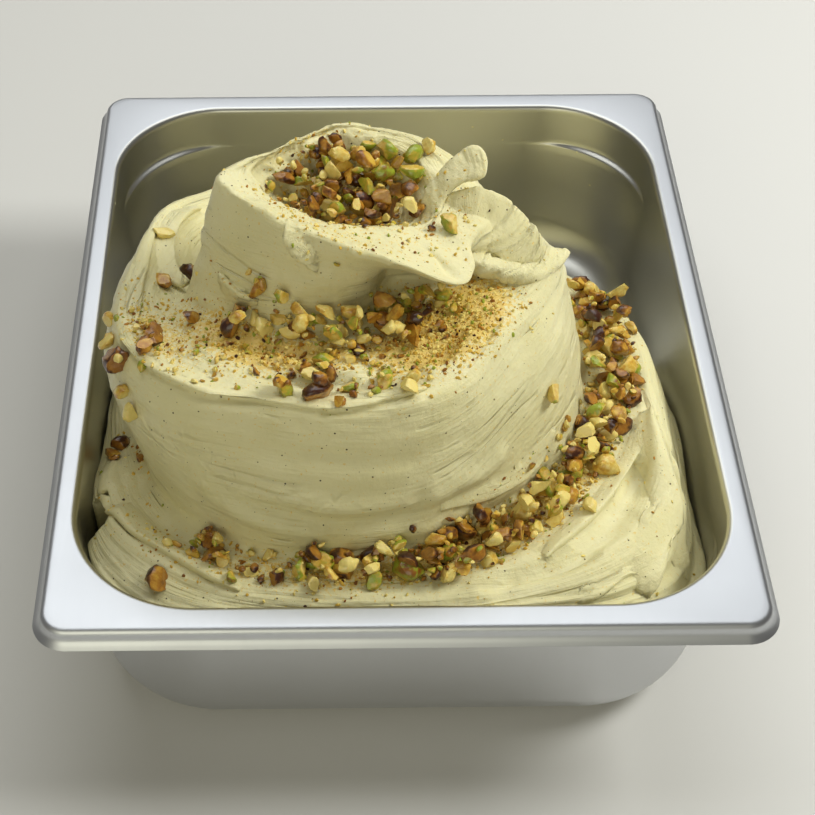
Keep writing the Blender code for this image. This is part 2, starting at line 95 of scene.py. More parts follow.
# Its rings have stations of (azimuth in degrees, radius, height over the rim).
CREST = [
    (12, 39, 86), (28, 37, 88), (60, 29, 90), (90, 26, 91), (120, 22, 92), (150, 24, 92), (189, 29, 93),
    (205, 26, 91), (227, 22, 89), (255, 21, 87), (282, 23, 86), (320, 31, 83), (335, 40, 81), (352, 41, 83),
]
LIP = [
    (8, 55, 79), (20, 52, 83), (32, 46, 87), (60, 36, 90), (90, 30, 92), (120, 24, 93), (154, 25, 94),
    (176, 33, 96), (190, 42, 98), (204, 40, 98), (217, 37, 97), (245, 36, 95), (279, 41, 90), (304, 55, 82),
    (314, 66, 77), (325, 64, 76), (333, 58, 78), (340, 57, 80), (346, 59, 80), (356, 57, 77),
]
ROLL_FOOT = [
    (8, 72, 61), (25, 72, 42), (50, 84, 8), (90, 66, 24), (125, 60, 26), (149, 58, 28), (163, 55, 29),
    (182, 55, 35), (203, 59, 48), (220, 56, 53), (234, 52, 55), (251, 48, 56), (269, 44, 56), (285, 39, 57),
    (303, 39, 58), (317, 45, 60), (326, 54, 62), (335, 61, 64), (340, 66, 67), (345, 70, 66), (356, 72, 64),
]
DRUM_EDGE = [
    (4, 83, 54), (12, 83, 46), (25, 83, 34), (50, 92, 4), (90, 88, 18), (126, 85, 32), (147, 80, 43),
    (160, 76, 47), (180, 76, 50), (201, 87, 50), (218, 91, 52), (234, 92, 55), (250, 87, 55), (270, 87, 55),
    (290, 90, 56), (304, 88, 58), (313, 84, 60), (321, 81, 62), (330, 82, 63), (338, 84, 64), (345, 86, 65),
    (351, 86.5, 66), (357, 85, 60),
]
BELLY = [
    (4, 90, 40), (12, 89, 35), (25, 89, 21), (50, 96, 2), (90, 98, 0), (126, 96, 6), (153, 92, 12),
    (180, 90, 20), (198, 93, 22), (215, 97, 28), (234, 98, 30), (250, 95, 30), (270, 95, 28), (290, 97, 29),
    (303, 96, 34), (312, 95, 40), (325, 95, 46), (338, 93, 46), (352, 91, 44),
]
DRUM_FOOT = [
    (9, 97, -3), (30, 98, -4), (50, 100, 0), (90, 106, -14), (126, 100, -20), (153, 92, -24), (180, 84, -24),
    (200, 82, -22), (213, 86, -15), (226, 93, -12), (240, 99, -10), (248, 101, -9), (269, 101, -8),
    (290, 102, -8), (304, 101, -7), (321, 102, -6), (335, 103, -5), (355, 101, -4),
]
RIDGE = [
    (6, 127, -2), (21, 119, -4), (35, 112, -6), (50, 108, -4), (90, 114, -24), (126, 112, -32), (153, 101, -30),
    (180, 90, -28), (200, 94, -24), (211, 105, -14), (221, 112, -12), (233, 116, -10), (248, 118, -9),
    (262, 118, -8), (281, 122, -8), (300, 133, -6), (312, 143, -4), (320, 147, -3), (329, 144, -2),
    (339, 138, -1), (351, 130, -1),
]
# A radius of REACH means out to the steel.
REACH = 200
SKIRT = [
    (355, REACH, -34), (17, 152, -55), (30, 142, -68), (50, 132, -70), (90, 124, -70), (126, 128, -70),
    (150, 118, -52), (165, REACH, -38), (180, REACH, -32), (200, REACH, -26), (211, REACH, -20),
    (214, 112, -20), (221, 116, -19), (224, REACH, -18), (240, REACH, -17), (270, REACH, -14), (300, REACH, -13),
    (315, REACH, -20), (325, REACH, -32), (335, REACH, -37),
]
# Below the skirt the gelato goes down to the pan's floor, at shares of the way, with a rounded foot.
FREE_FOOT_ROUND = 3.0
FOOT_LEVELS = (0.15, 0.4, 0.65, 0.85, 1.0)
# The hollow under the roll's flap: azimuth, spread to both sides, depth. Folds on the right slope and
# grooves on the terrace have a number too.
CAVITY = (314.0, 25.0, 18.0)
FOLDS = (340.0, 62.0, 2.6, 3)
GROOVES = (262.0, 75.0, 1.3, 2)

# Corner radius and points across it, ring by ring, then points on the stretch after it.
CORNERS = {
    "bowl": (6.0, 4, 6),
    "crest": (3.2, 7, 6),
    "lip": (3.6, 8, 3),
    "under": (6.0, 5, 4),
    "roll_foot": (4.5, 6, 15),
    "drum_edge": (4.5, 9, 6),
    "belly": (22.0, 9, 8),
    "drum_foot": (5.0, 7, 6),
    "ridge": (4.5, 8, 22),
}
BOWL_RINGS = 6
# A corner takes up at most this share of the stretches beside it.
CORNER_SHARE = 0.45
# The roll's foot gives way to the cavity by this share of its depth.
CAVITY_FOOT_SHARE = 0.35
# Steps of the search for the steel's distance.
HALVINGS = 32

# The thin tongue, the ribbon beside it and the ledge below: the sheet's width runs along across, it is
# thick millimetres thick, and its centre line has stations of (x, y, height over the rim, half width).
SHEETS = {
    "tongue": {
        "across": (-0.35, 0.86, 0.36),
        "thick": 2.6,
        "path": [
            (14, -32, 75, 4.5), (11.5, -29, 79, 4.6), (12.5, -25, 83, 4.4), (16, -21.5, 87.5, 4.4),
            (20.5, -19.5, 91, 5.2), (26, -18, 93.6, 6.6), (31.5, -17.5, 95, 6.2),
        ],
    },
    "ribbon": {
        "across": (-0.15, 0.76, 0.64),
        "thick": 3.6,
        "path": [
            (14, -29, 76.5, 6), (21, -29.5, 79, 8.5), (27, -30, 79.5, 10), (33, -31.5, 77.8, 10.5), (39, -34, 74.5, 10),
            (45, -37.5, 70, 8.5), (50, -41, 66.5, 6),
        ],
    },
    "ledge": {
        "across": (0.0, 0.0, 1.0),
        "thick": 9.0,
        "path": [
            (16, -42, 67, 3.5), (24, -43.5, 68.5, 3.5), (33, -45.5, 67.5, 3.5), (39, -47, 66.2, 3.2), (45, -47, 65, 3),
            (50, -45, 64.2, 2.8), (55, -40, 63.5, 2.6), (58, -35, 62.8, 2.3), (60, -30, 62, 2),
        ],
    },
}

# A sheet's end is rounded over this share of its half width, and a power squares its oval section.
SHEET_END = 0.6
SHEET_POWER = 0.6

# Layers that overlap the gelato below them: width, height of the free edge, then points on that edge.
# The layer lies on the left of its edge.
LAYERS = [
    (17, 6.2, [
        (89, -136, 64), (93, -125, 66), (98, -112, 68), (101, -99, 69), (101, -89, 76), (101, -72, 78),
        (100, -49, 79),
    ]),
    (8, 2.6, [(106, -119, 54), (106, -111, 58), (107, -95, 63), (107, -81, 66), (103, -72, 77), (102, -53, 79)]),
    (9, 2.4, [(51, -124, 75), (58, -119, 75), (75, -103, 76), (87, -86, 77), (95, -71, 78), (100, -49, 79)]),
    (8, 1.6, [(62, -140, 68), (71, -137, 70), (77, -133, 70), (85, -127, 70), (88, -129, 67)]),
    (12, 3.0, [
        (-117, -82, 63), (-114, -91, 66), (-110, -93, 67), (-107, -97, 68), (-101, -106, 69), (-92, -113, 70),
        (-82, -121, 70), (-70, -130, 70), (-58, -135, 70),
    ]),
    (9, 2.6, [(-41, -48, 174), (-42, -53, 171), (-41, -55, 167), (-38, -57, 164), (-34, -59, 160), (-30, -60, 158)]),
    (9, 2.6, [(-51, -60, 145), (-57, -57, 146), (-63, -51, 148), (-66, -48, 149)]),
    (7, 1.6, [
        (-104, -60, 129), (-96, -77, 130), (-78, -94, 134), (-66, -99, 134), (-44, -102, 134), (-31, -106, 134),
        (-16, -106, 135), (-2, -102, 136), (9, -97, 136),
    ]),
    (9, 4.2, [(-81, -24, 124), (-85, -14, 122), (-87, -1, 122), (-87, 9, 121), (-82, 22, 119), (-76, 32, 115)]),
    (8, 1.8, [(-97, -60, 131), (-97, -33, 127), (-96, -4, 125), (-94, 12, 123)]),
    (10, 1.6, [(10, -113, 89), (30, -103, 84), (45, -92, 82), (55, -81, 85), (59, -74, 93)]),
]
# A layer's section: share of its width from the free edge, share of its height over the gelato below.
LAYER_SECTION = [
    (0.01, 0.05), (0.04, -0.35), (0.12, -0.9), (0.4, -1.0), (0.75, -1.0), (1.0, -0.5), (0.76, 0.08), (0.58, 0.36),
    (0.42, 0.62), (0.28, 0.85), (0.17, 1.0), (0.09, 1.05), (0.04, 0.95), (0.01, 0.7), (0.0, 0.35),
]

# Lines that the spatula left, along points on the surface: kind, width, height, then the points.
TRACES = [
    ("groove", 3.0, 2.2, [
        (96, -67, 78), (91, -84, 77), (84, -97, 77), (74, -112, 76), (66, -121, 76), (55, -127, 75), (39, -132, 74),
        (26, -137, 73),
    ]),
    ("groove", 4.0, 1.0, [(72, -120, 76), (60, -129, 75), (45, -136, 73), (31, -140, 72)]),
    ("groove", 2.2, 0.9, [(-102, -63, 129), (-96, -76, 130), (-78, -94, 133), (-66, -98, 133), (-44, -102, 134)]),
    ("groove", 2.2, 0.8, [(-31, -105, 133), (-16, -105, 134), (-2, -101, 136)]),
    ("ridge", 2.4, 1.3, [(-49, -77, 135), (-40, -83, 136), (-30, -87, 135), (-22, -89, 135), (-11, -91, 135)]),
    ("ridge", 2.0, 1.0, [(-37, -73, 136), (-26, -76, 135), (-17, -81, 136)]),
    ("ridge", 2.6, 1.5, [(27, -72, 141), (24, -77, 139), (19, -85, 138), (13, -89, 137), (6, -90, 136)]),
    ("groove", 3.0, 1.0, [(-53, -73, 135), (-37, -82, 135), (-19, -93, 135), (-2, -94, 136)]),
    ("groove", 2.0, 1.6, [
        (-53, -23, 171), (-52, -18, 171), (-47, -11, 170), (-37, -3, 169), (-35, -1, 171), (-29, 5, 172),
        (-24, 9, 172),
    ]),
    ("ridge", 2.2, 0.5, [(-20, -59, 168), (-10, -61, 166), (-3, -62, 163)]),
    ("groove", 2.2, 1.0, [(11, -55, 160), (15, -57, 159), (17, -62, 158)]),
    ("ridge", 3.5, 1.2, [
        (6, -114, 97), (13, -111, 97), (20, -107, 99), (29, -102, 98), (34, -97, 101), (36, -95, 105),
    ]),
    ("groove", 3.0, 1.2, [(30, -105, 76), (37, -101, 75), (42, -98, 75), (48, -93, 75)]),
    ("ridge", 4.0, 1.2, [
        (25, -108, 75), (37, -104, 74), (49, -97, 74), (56, -90, 74), (60, -84, 75), (62, -76, 77), (58, -78, 87),
    ]),
    ("ridge", 3.0, 0.8, [(-55, -111, 104), (-37, -116, 99), (-23, -117, 96), (-5, -116, 96), (6, -113, 98)]),
    ("groove", 3.0, 0.9, [(-59, -111, 94), (-45, -116, 92), (-27, -118, 90), (-9, -118, 90), (10, -113, 91)]),
    ("ridge", 3.5, 0.9, [(-77, -102, 101), (-68, -108, 93), (-56, -114, 88), (-41, -117, 86), (-27, -119, 85)]),
    ("groove", 2.5, 0.7, [(-37, -111, 118), (-19, -113, 116), (-2, -112, 115), (16, -106, 116), (27, -98, 119)]),
]
# All lines are deepened alike.
TRACE_GAIN = 2.2
# A line fades in and out over this share of its length.
TRACE_FADE = 0.15

# Where nut crumbs lie: azimuth, distance, spread along the sweep and across it, share of the full
# density, greatest height over the rim. Painted dust lies thickest there too.
CRUMBS = [
    (314, 66, 17, 11, 1.7, 64), (298, 64, 14, 12, 0.6, 66), (240, 62, 28, 9, 0.9, 70), (268, 58, 20, 7, 0.4, 68),
    (300, 108, 26, 8, 0.7, 10), (325, 112, 24, 8, 0.45, 10), (350, 112, 20, 8, 0.35, 10), (268, 108, 22, 6, 0.35, 10),
    (262, 34, 40, 7, 0.1, 120), (310, 40, 40, 8, 0.12, 120), (340, 46, 22, 10, 0.1, 120), (214, 78, 16, 8, 0.5, 70),
    (0, 14, 200, 12, 0.5, 120), (245, 112, 30, 8, 0.12, 10),
]
# The patch of icy, torn surface on the drum: azimuth, height over the rim, spread along and up.
TORN_PATCHES = [(232, 30, 14, 12), (246, 22, 12, 9), (220, 38, 9, 8), (262, 18, 16, 6)]
# Only the drum is torn: what lies beyond this distance from the axis.
TORN_FROM = 70.0
# The foot of the gelato, up to this height over its underside, is left smooth.
CALM_HEIGHT = 4.0
# Dust that lies everywhere, the least upward slope that holds dust, and how much more holds all of it.
DUST_ALL_OVER = 0.004
DUST_SLOPE = 0.3
DUST_FADE = 0.4

# Nuts that stand out: azimuth, distance from the axis, length, kind.
BROWN, GREEN, CREAM = "brown", "green", "cream"
LARGE_NUTS = [
    (265, 103, 8, GREEN), (272, 104, 13, BROWN), (278, 102, 10, BROWN), (284, 110, 15, GREEN), (245, 108, 10, BROWN),
    (243, 103, 8, BROWN), (239, 124, 11, BROWN), (254, 111, 6, CREAM), (259, 113, 7, BROWN), (251, 116, 6, GREEN),
    (202, 95, 9, BROWN), (213, 92, 12, BROWN), (198, 90, 9, BROWN), (221, 96, 8, CREAM), (242, 112, 6, GREEN),
    (256, 102, 6, CREAM), (298, 102, 10, BROWN), (293, 102, 9, BROWN), (297, 104, 8, BROWN), (302, 111, 9, BROWN),
    (302, 104, 8, GREEN), (308, 116, 9, BROWN), (290, 103, 7, CREAM), (293, 110, 9, GREEN), (298, 117, 9, CREAM),
    (310, 107, 9, CREAM), (314, 118, 8, CREAM), (319, 126, 8, CREAM), (317, 107, 8, BROWN), (324, 110, 11, GREEN),
    (330, 121, 12, CREAM), (337, 115, 8, CREAM), (340, 119, 10, BROWN), (335, 107, 8, BROWN), (19, 111, 9, BROWN),
    (15, 116, 8, BROWN), (13, 107, 10, BROWN), (10, 109, 8, GREEN), (7, 116, 8, CREAM), (7, 124, 7, CREAM),
    (5, 119, 8, BROWN), (0, 114, 8, GREEN), (356, 121, 8, GREEN), (353, 111, 12, BROWN), (352, 121, 9, BROWN),
    (348, 121, 9, BROWN), (349, 115, 8, CREAM), (346, 111, 9, CREAM), (342, 109, 8, BROWN), (326, 97, 10, GREEN),
    (214, 79, 11, BROWN), (217, 85, 8, BROWN), (215, 64, 8, BROWN), (231, 57, 11, BROWN), (242, 53, 8, CREAM),
    (259, 50, 9, BROWN), (253, 52, 8, CREAM), (261, 49, 7, GREEN), (273, 50, 10, CREAM), (279, 48, 9, CREAM),
    (279, 58, 7, BROWN), (292, 49, 9, BROWN), (278, 45, 8, CREAM), (298, 42, 9, GREEN), (318, 53, 9, GREEN),
    (299, 60, 12, BROWN), (294, 57, 7, CREAM), (264, 71, 9, CREAM), (266, 80, 12, BROWN), (274, 76, 7, GREEN),
    (284, 74, 9, GREEN), (290, 78, 8, CREAM), (288, 84, 9, CREAM), (151, 19, 9, BROWN), (167, 19, 8, BROWN),
    (143, 15, 8, BROWN), (115, 12, 8, GREEN), (82, 15, 10, BROWN), (51, 22, 9, BROWN), (29, 29, 8, GREEN),
    (28, 35, 9, GREEN), (29, 42, 7, CREAM), (13, 35, 7, GREEN), (11, 26, 9, BROWN), (350, 12, 11, CREAM),
    (351, 22, 11, BROWN), (348, 33, 8, BROWN), (327, 18, 9, BROWN), (222, 25, 9, BROWN), (337, 47, 9, GREEN),
    (332, 55, 5, BROWN), (161, 70, 8, CREAM), (183, 66, 8, BROWN), (170, 58, 9, BROWN), (234, 46, 9, BROWN),
]
# Heaps of chopped nuts: azimuth from and to, distance from and to, number, length, height of the heap.
HEAPS = [
    (288, 345, 102, 119, 74, 8.2, 2.5),
    (345, 382, 101, 121, 66, 8.6, 3.5),
    (262, 290, 102, 114, 24, 8.0, 1.0),
    (236, 262, 102, 114, 9, 7.0, 0.0),
    (230, 318, 44, 60, 36, 7.8, 0.5),
    (268, 312, 46, 58, 26, 8.4, 4.0),
    (255, 300, 62, 84, 12, 7.0, 0.0),
    (-130, 110, 1, 24, 110, 8.0, 6.0),
    (110, 230, 1, 13, 16, 7.0, 3.0),
    (330, 420, 8, 34, 100, 8.2, 8.0),
    (196, 222, 84, 96, 10, 7.0, 0.0),
    (60, 130, 72, 84, 7, 7.0, 0.0),
    (285, 345, 100, 121, 150, 3.4, 1.0),
    (345, 382, 100, 122, 90, 3.4, 1.0),
    (240, 285, 101, 112, 50, 3.2, 0.0),
    (228, 322, 44, 64, 110, 3.4, 0.0),
    (240, 310, 64, 84, 30, 3.0, 0.0),
    (0, 360, 4, 32, 120, 3.6, 5.0),
    (255, 335, 22, 44, 30, 2.8, 0.0),
    (196, 240, 70, 92, 34, 3.0, 0.0),
]
# Heaps nearer than BOWL_REACH lie in the bowl, within a share of the crest's radius.
BOWL_REACH = 40
BOWL_EDGE = 0.84
# Greatest height of a nut over the gelato.
HIGHEST_HEAP = 10.0
# The nuts in LARGE_NUTS are enlarged alike.
LARGE_GAIN = 1.08
# What is shorter is a chip, with fewer faces.
CHIP_LENGTH = 5.6
# Shares of brown, green and cream pieces in a heap.
KIND_SHARES = (0.42, 0.27, 0.31)
# Two nuts touch when they are nearer than NUT_REACH of both lengths; NUT_LIFT is how far one then
# climbs on the other. A nut's middle stands out of the surface by NUT_STANDS_OUT of its half height.
NUT_REACH = 0.36
NUT_LIFT = 0.576
NUT_STANDS_OUT = 0.55
# Each nut has this many cuts, at these distances from its middle in shares of its half size.
NUT_CUTS = 5
NUT_CUT_DEPTHS = (0.48, 1.15)
# Where nuts are dropped from, the least slope they lie on, and the step past a surface met.
ABOVE_ALL = 130.0
STEEPEST_UNDER_NUT = 0.1
STEP_PAST = 0.1
SEED = 11

# Each kind's material, then the settings' colours over its skin and over its cut faces.
KERNELS = {
    BROWN: ("roasted_pistachio_in_its_skin", ("dark_skin", "dark_skin", "skin", "toast"), ("skin", "toast", "flesh")),
    GREEN: ("green_pistachio_kernel", ("skin", "green", "green", "flesh"), ("green", "flesh", "cream")),
    CREAM: ("blanched_pistachio_kernel", ("toast", "flesh", "cream", "cream"), ("flesh", "cream", "cream")),
}
# Colours of the crumbs, from the share where each starts.
CRUMB_TONES = (
    (0.0, "dark_skin"), (0.025, "skin"), (0.06, "toast"), (0.17, "flesh"), (0.52, "cream"), (0.92, "green"),
)

# The stage: half the floor's side in millimetres, the room's colour, and the lamps in metres. A lamp has
# a name, place, size, colour, and whether it shows in reflections. The side lamp doesn't, because the
# photo has no such reflection in the pan's far corner.
FLOOR_HALF = 3000.0
WORLD_COLOUR = (1.0, 0.97, 0.9)
LAMPS = (
    ("key", (-0.06, 0.74, 1.45), 1.55, (0.97, 1.0, 1.0), True),
    ("side", (1.0, 0.15, 0.95), 0.5, (0.98, 1.0, 0.98), False),
    ("fill", (-0.4, -1.35, 0.75), 1.1, (1.0, 0.98, 0.76), True),
)
LAMP_AIM = Vector((0, 0, 0.08))
# The camera that fits the pan's rim in the photo: place, yaw, pitch and roll, then sensor, lens, shift.
CAMERA_PLACE = (-0.0281, -0.5386, 0.571)
CAMERA_TURN = (-0.347, 90 - 45.157, -0.279)
CAMERA_LENS = (36.0, 78.12, 0.0919)


def linear(colour):
    """An sRGB hex colour as linear red, green and blue."""
    shares = [int(colour[i : i + 2], 16) / 255 for i in (1, 3, 5)]
    return tuple(c / 12.92 if c <= 0.04045 else ((c + 0.055) / 1.055) ** 2.4 for c in shares)


def colour_property(name, description, colour):
    return FloatVectorProperty(
        name=name, description=description, subtype="COLOR", size=3, min=0, max=1, default=linear(colour)
    )


class PanSettings(bpy.types.PropertyGroup):
    wall: colour_property("Wall", "Reflection colour of the drawn walls", "#c9c8c1")
    rim: colour_property("Rim", "Reflection colour of the satin rim", "#c9cbcf")
    outside: colour_property("Outside", "Reflection colour of the outer face", "#d2d3d5")
    rim_roughness: FloatProperty(
        name="Rim roughness", description="How far the satin rim blurs a reflection", default=0.42, min=0, max=1
    )
    wall_roughness: FloatProperty(
        name="Wall roughness", description="How far the pressed walls blur a reflection", default=0.33, min=0, max=1
    )
    brushing: FloatProperty(
        name="Brushing depth", description="Depth of the brushed lines", default=0.00002, unit="LENGTH"
    )


class GelatoSettings(bpy.types.PropertyGroup):
    cream: colour_property("Cream", "The gelato where it is palest", "#e3dcb1")
    shade: colour_property("Shade", "The gelato where more pistachio paste shows", "#d2c992")
    dust: colour_property("Dust", "Fine golden dust of ground nuts", "#dbbd69")
    speck: colour_property("Speck", "Ground pistachio skin in the cream", "#4a3f22")
    azimuths: IntProperty(name="Azimuths", description="Points round each ring", default=560, min=60)
    streak_depth: FloatProperty(
        name="Streak depth", description="Depth of the spatula's streaks", default=0.0042, unit="LENGTH"
    )
    streak_spacing: FloatProperty(
        name="Streak spacing", description="Distance between the streaks", default=0.0048, unit="LENGTH"
    )
    lump_height: FloatProperty(
        name="Lump height", description="Height of the soft unevenness", default=0.0013, unit="LENGTH"
    )


class NutSettings(bpy.types.PropertyGroup):
    skin: colour_property("Skin", "Roasted skin", "#82521b")
    dark_skin: colour_property("Dark skin", "Purple-brown skin", "#3d1c0b")
    flesh: colour_property("Flesh", "Cut face of a kernel", "#cda640")
    green: colour_property("Green", "Greenest kernels", "#909a2b")
    cream: colour_property("Cream", "Palest kernels", "#e0cb76")
    toast: colour_property("Toast", "Toasted edges", "#ab7726")
    crumb_density: FloatProperty(
        name="Crumb density", description="Crumbs on a square metre where they lie thickest", default=1100000.0
    )


class StageSettings(bpy.types.PropertyGroup):
    floor: colour_property("Floor", "The pale floor", "#cfcdc8")
    key_power: FloatProperty(name="Key power", description="Main softbox, watts", default=14.6)
    side_power: FloatProperty(name="Side power", description="Softbox on the right, watts", default=15.5)
    fill_power: FloatProperty(name="Fill power", description="Fill softbox, watts", default=6.8)
    world_strength: FloatProperty(name="World strength", description="Strength of the room's light", default=0.14)


def socket(sockets, key):
    """A socket by its number, its identifier or its name."""
    if isinstance(key, int):
        return sockets[key]
    return next((found for found in sockets if found.identifier == key), None) or sockets[key]


def plug(tree, node, sockets):
    """Sets a node's inputs to values, or links nodes and sockets into them."""
    for key, value in sockets.items():
        target = socket(node.inputs, key)
        if isinstance(value, bpy.types.Node):
            value = next(output for output in value.outputs if output.enabled)
        if isinstance(value, bpy.types.NodeSocket):
            tree.links.new(value, target)
        else:
            target.default_value = value
    return node


def add(tree, kind, settings=None, sockets=None):
    """Adds a node. Settings are its properties; sockets are values, or what is linked in."""
    made = tree.nodes.new(kind)
    for name, value in (settings or {}).items():
        setattr(made, name, value)
    return plug(tree, made, sockets or {})


def maths(tree, operation, *values):
    """A Math node."""
    return add(tree, "ShaderNodeMath", {"operation": operation}, dict(enumerate(values)))


def vector_maths(tree, operation, *values, **sockets):
    """A Vector Math node."""
    return add(tree, "ShaderNodeVectorMath", {"operation": operation}, {**dict(enumerate(values)), **sockets})


def noise(tree, vector, scale, detail, settings=None, **sockets):
    """A Noise Texture node."""
    return add(tree, "ShaderNodeTexNoise", settings, {"Vector": vector, "Scale": scale, "Detail": detail, **sockets})


def span(tree, value, start, stop, low=0.0, high=1.0, settings=None):
    """A Map Range node, from start and stop to low and high."""
    sockets = {"Value": value, "From Min": start, "From Max": stop, "To Min": low, "To Max": high}
    return add(tree, "ShaderNodeMapRange", settings, sockets)


def blend(tree, factor, first, second):
    """A colour between two, each a plain colour or a socket."""
    pair = [colour if isinstance(colour, bpy.types.NodeSocket) else (*colour, 1) for colour in (first, second)]
    sockets = {"Factor_Float": factor, "A_Color": pair[0], "B_Color": pair[1]}
    return socket(add(tree, "ShaderNodeMix", {"data_type": "RGBA"}, sockets).outputs, "Result_Color")


def ramp(tree, factor, stops, interpolation="LINEAR"):
    """The colour of a Color Ramp node, whose stops are pairs of position and colour."""
    made = add(tree, "ShaderNodeValToRGB", {}, {"Fac": factor})
    made.color_ramp.interpolation = interpolation
    for i, (start, colour) in enumerate(stops):
        stop = made.color_ramp.elements[i] if i < 2 else made.color_ramp.elements.new(start)
        stop.position = start
        stop.color = (*colour, 1)
    return made.outputs["Color"]


def dots(tree, place, cells, near, far, chance, settings=None):
    """Round dots in a share of the cells of a Voronoi pattern: 1 nearer than near, 0 beyond far."""
    cell = add(tree, "ShaderNodeTexVoronoi", {}, {"Vector": place, "Scale": cells, "Randomness": 1.0})
    inside = span(tree, cell.outputs["Distance"], near, far, 1.0, 0.0, settings)
    colour = add(tree, "ShaderNodeSeparateColor", {}, {"Color": cell.outputs["Color"]})
    return maths(tree, "MULTIPLY", inside, maths(tree, "LESS_THAN", colour.outputs["Red"], chance))


def stored(tree, name, kind="FLOAT_VECTOR"):
    """A named attribute, read in Geometry Nodes."""
    return add(tree, "GeometryNodeInputNamedAttribute", {"data_type": kind}, {"Name": name})


def kept(tree, geometry, name, value, kind="FLOAT", domain="POINT"):
    """Keeps a named attribute, in Geometry Nodes."""
    settings = {"data_type": kind, "domain": domain}
    return add(tree, "GeometryNodeStoreNamedAttribute", settings, {"Geometry": geometry, "Name": name, "Value": value})


def drawn(tree, low, high, **sockets):
    """A random number or vector for each point, in Geometry Nodes."""
    number = not isinstance(low, tuple)
    settings = {"data_type": "FLOAT" if number else "FLOAT_VECTOR"}
    made = add(tree, "FunctionNodeRandomValue", settings, {2 * number: low, 2 * number + 1: high, **sockets})
    return made.outputs[int(number)]


def new_material(name, shader_values):
    """A material with one Principled shader, and its tree and shader."""
    made = bpy.data.materials.new(name)
    made.use_nodes = True
    return made, made.node_tree, plug(made.node_tree, made.node_tree.nodes["Principled BSDF"], shader_values)


def mesh_object(name, vertices, faces, finishes=()):
    """An object from points in millimetres."""
    mesh = bpy.data.meshes.new(name)
    mesh.from_pydata((np.asarray(vertices, float) * MM).tolist(), [], faces)
    made = bpy.data.objects.new(name, mesh)
    bpy.context.scene.collection.objects.link(made)
    for finish in finishes:
        mesh.materials.append(finish)
    return made


def skin_faces(rings, points):
    """Quads between closed rings of equal length, and a polygon over the first and the last."""
    faces = [tuple(reversed(range(points)))]
    for ring in range(rings - 1):
        low, high = ring * points, (ring + 1) * points
        faces += [(low + i, low + (i + 1) % points, high + (i + 1) % points, high + i) for i in range(points)]
    faces.append(tuple((rings - 1) * points + i for i in range(points)))
    return faces


def rounded_rectangle(half_x, half_y, corner, height):
    """Points anticlockwise from above, with points along the sides too."""
    corners = []
    for quarter, (side_x, side_y) in enumerate(((1, 1), (-1, 1), (-1, -1), (1, -1))):
        for step in range(CORNER_STEPS + 1):
            turn = math.radians(90) * (quarter + step / CORNER_STEPS)
            x = side_x * (half_x - corner) + corner * math.cos(turn)
            y = side_y * (half_y - corner) + corner * math.sin(turn)
            corners.append((x, y, height))
    points = []
    for i, (x, y, z) in enumerate(corners):
        points.append((x, y, z))
        if i % (CORNER_STEPS + 1) == CORNER_STEPS:
            next_x, next_y, _ = corners[(i + 1) % len(corners)]
            for step in range(1, SIDE_STEPS):
                share = step / SIDE_STEPS
                points.append((x + (next_x - x) * share, y + (next_y - y) * share, z))
    return points


def wall_ring(depth, inset, corner):
    """The wall's outline at a depth below the rim, moved inwards by inset."""
    back = inset + depth * math.tan(WALL_TAPER)
    return rounded_rectangle(OPENING_HALF_X - back, OPENING_HALF_Y - back, corner - back, PAN_DEPTH - depth)


def wall_rings(out):
    """One face of the wall from the floor up to the mouth; out is how far it lies outside the inner face."""
    floor_depth = PAN_DEPTH - SHEET + out
    fillet = FLOOR_FILLET + out
    rings = []
    for share in FLOOR_SHARES:
        inset = fillet - out + FLOOR_RING_INSET * (1 - share)
        rings.append(wall_ring(floor_depth, inset, LOWER_CORNER + 10 * (1 - share)))
    for step in range(FILLET_STEPS + 1):
        turn = math.radians(90) * step / FILLET_STEPS
        depth = floor_depth - fillet * (1 - math.cos(turn))
        rings.append(wall_ring(depth, fillet * (1 - math.sin(turn)) - out, LOWER_CORNER))
    for share in WALL_SHARES:
        depth = (floor_depth - fillet) * (1 - share) + (SHOULDER_DEPTH + SHOULDER_HEIGHT) * share
        rings.append(wall_ring(depth, -out, LOWER_CORNER))
    for step in range(SMALL_FILLET_STEPS + 1):
        share = step / SMALL_FILLET_STEPS
        ease = share * share * (3 - 2 * share)
        corner = LOWER_CORNER + (UPPER_CORNER - LOWER_CORNER) * ease
        rings.append(wall_ring(SHOULDER_DEPTH + SHOULDER_HEIGHT * (1 - share), -out, corner))
    rings.append(wall_ring(SHOULDER_DEPTH - 2, -out, UPPER_CORNER))
    rings.append(wall_ring(MOUTH_FILLET + 1, -out, UPPER_CORNER))
    bend = MOUTH_FILLET - out
    for step in range(SMALL_FILLET_STEPS + 1):
        turn = math.radians(90) * step / SMALL_FILLET_STEPS
        widened = bend * (1 - math.cos(turn))
        rings.append(wall_ring(MOUTH_FILLET - bend * math.sin(turn), -out - widened, UPPER_CORNER))
    return rings


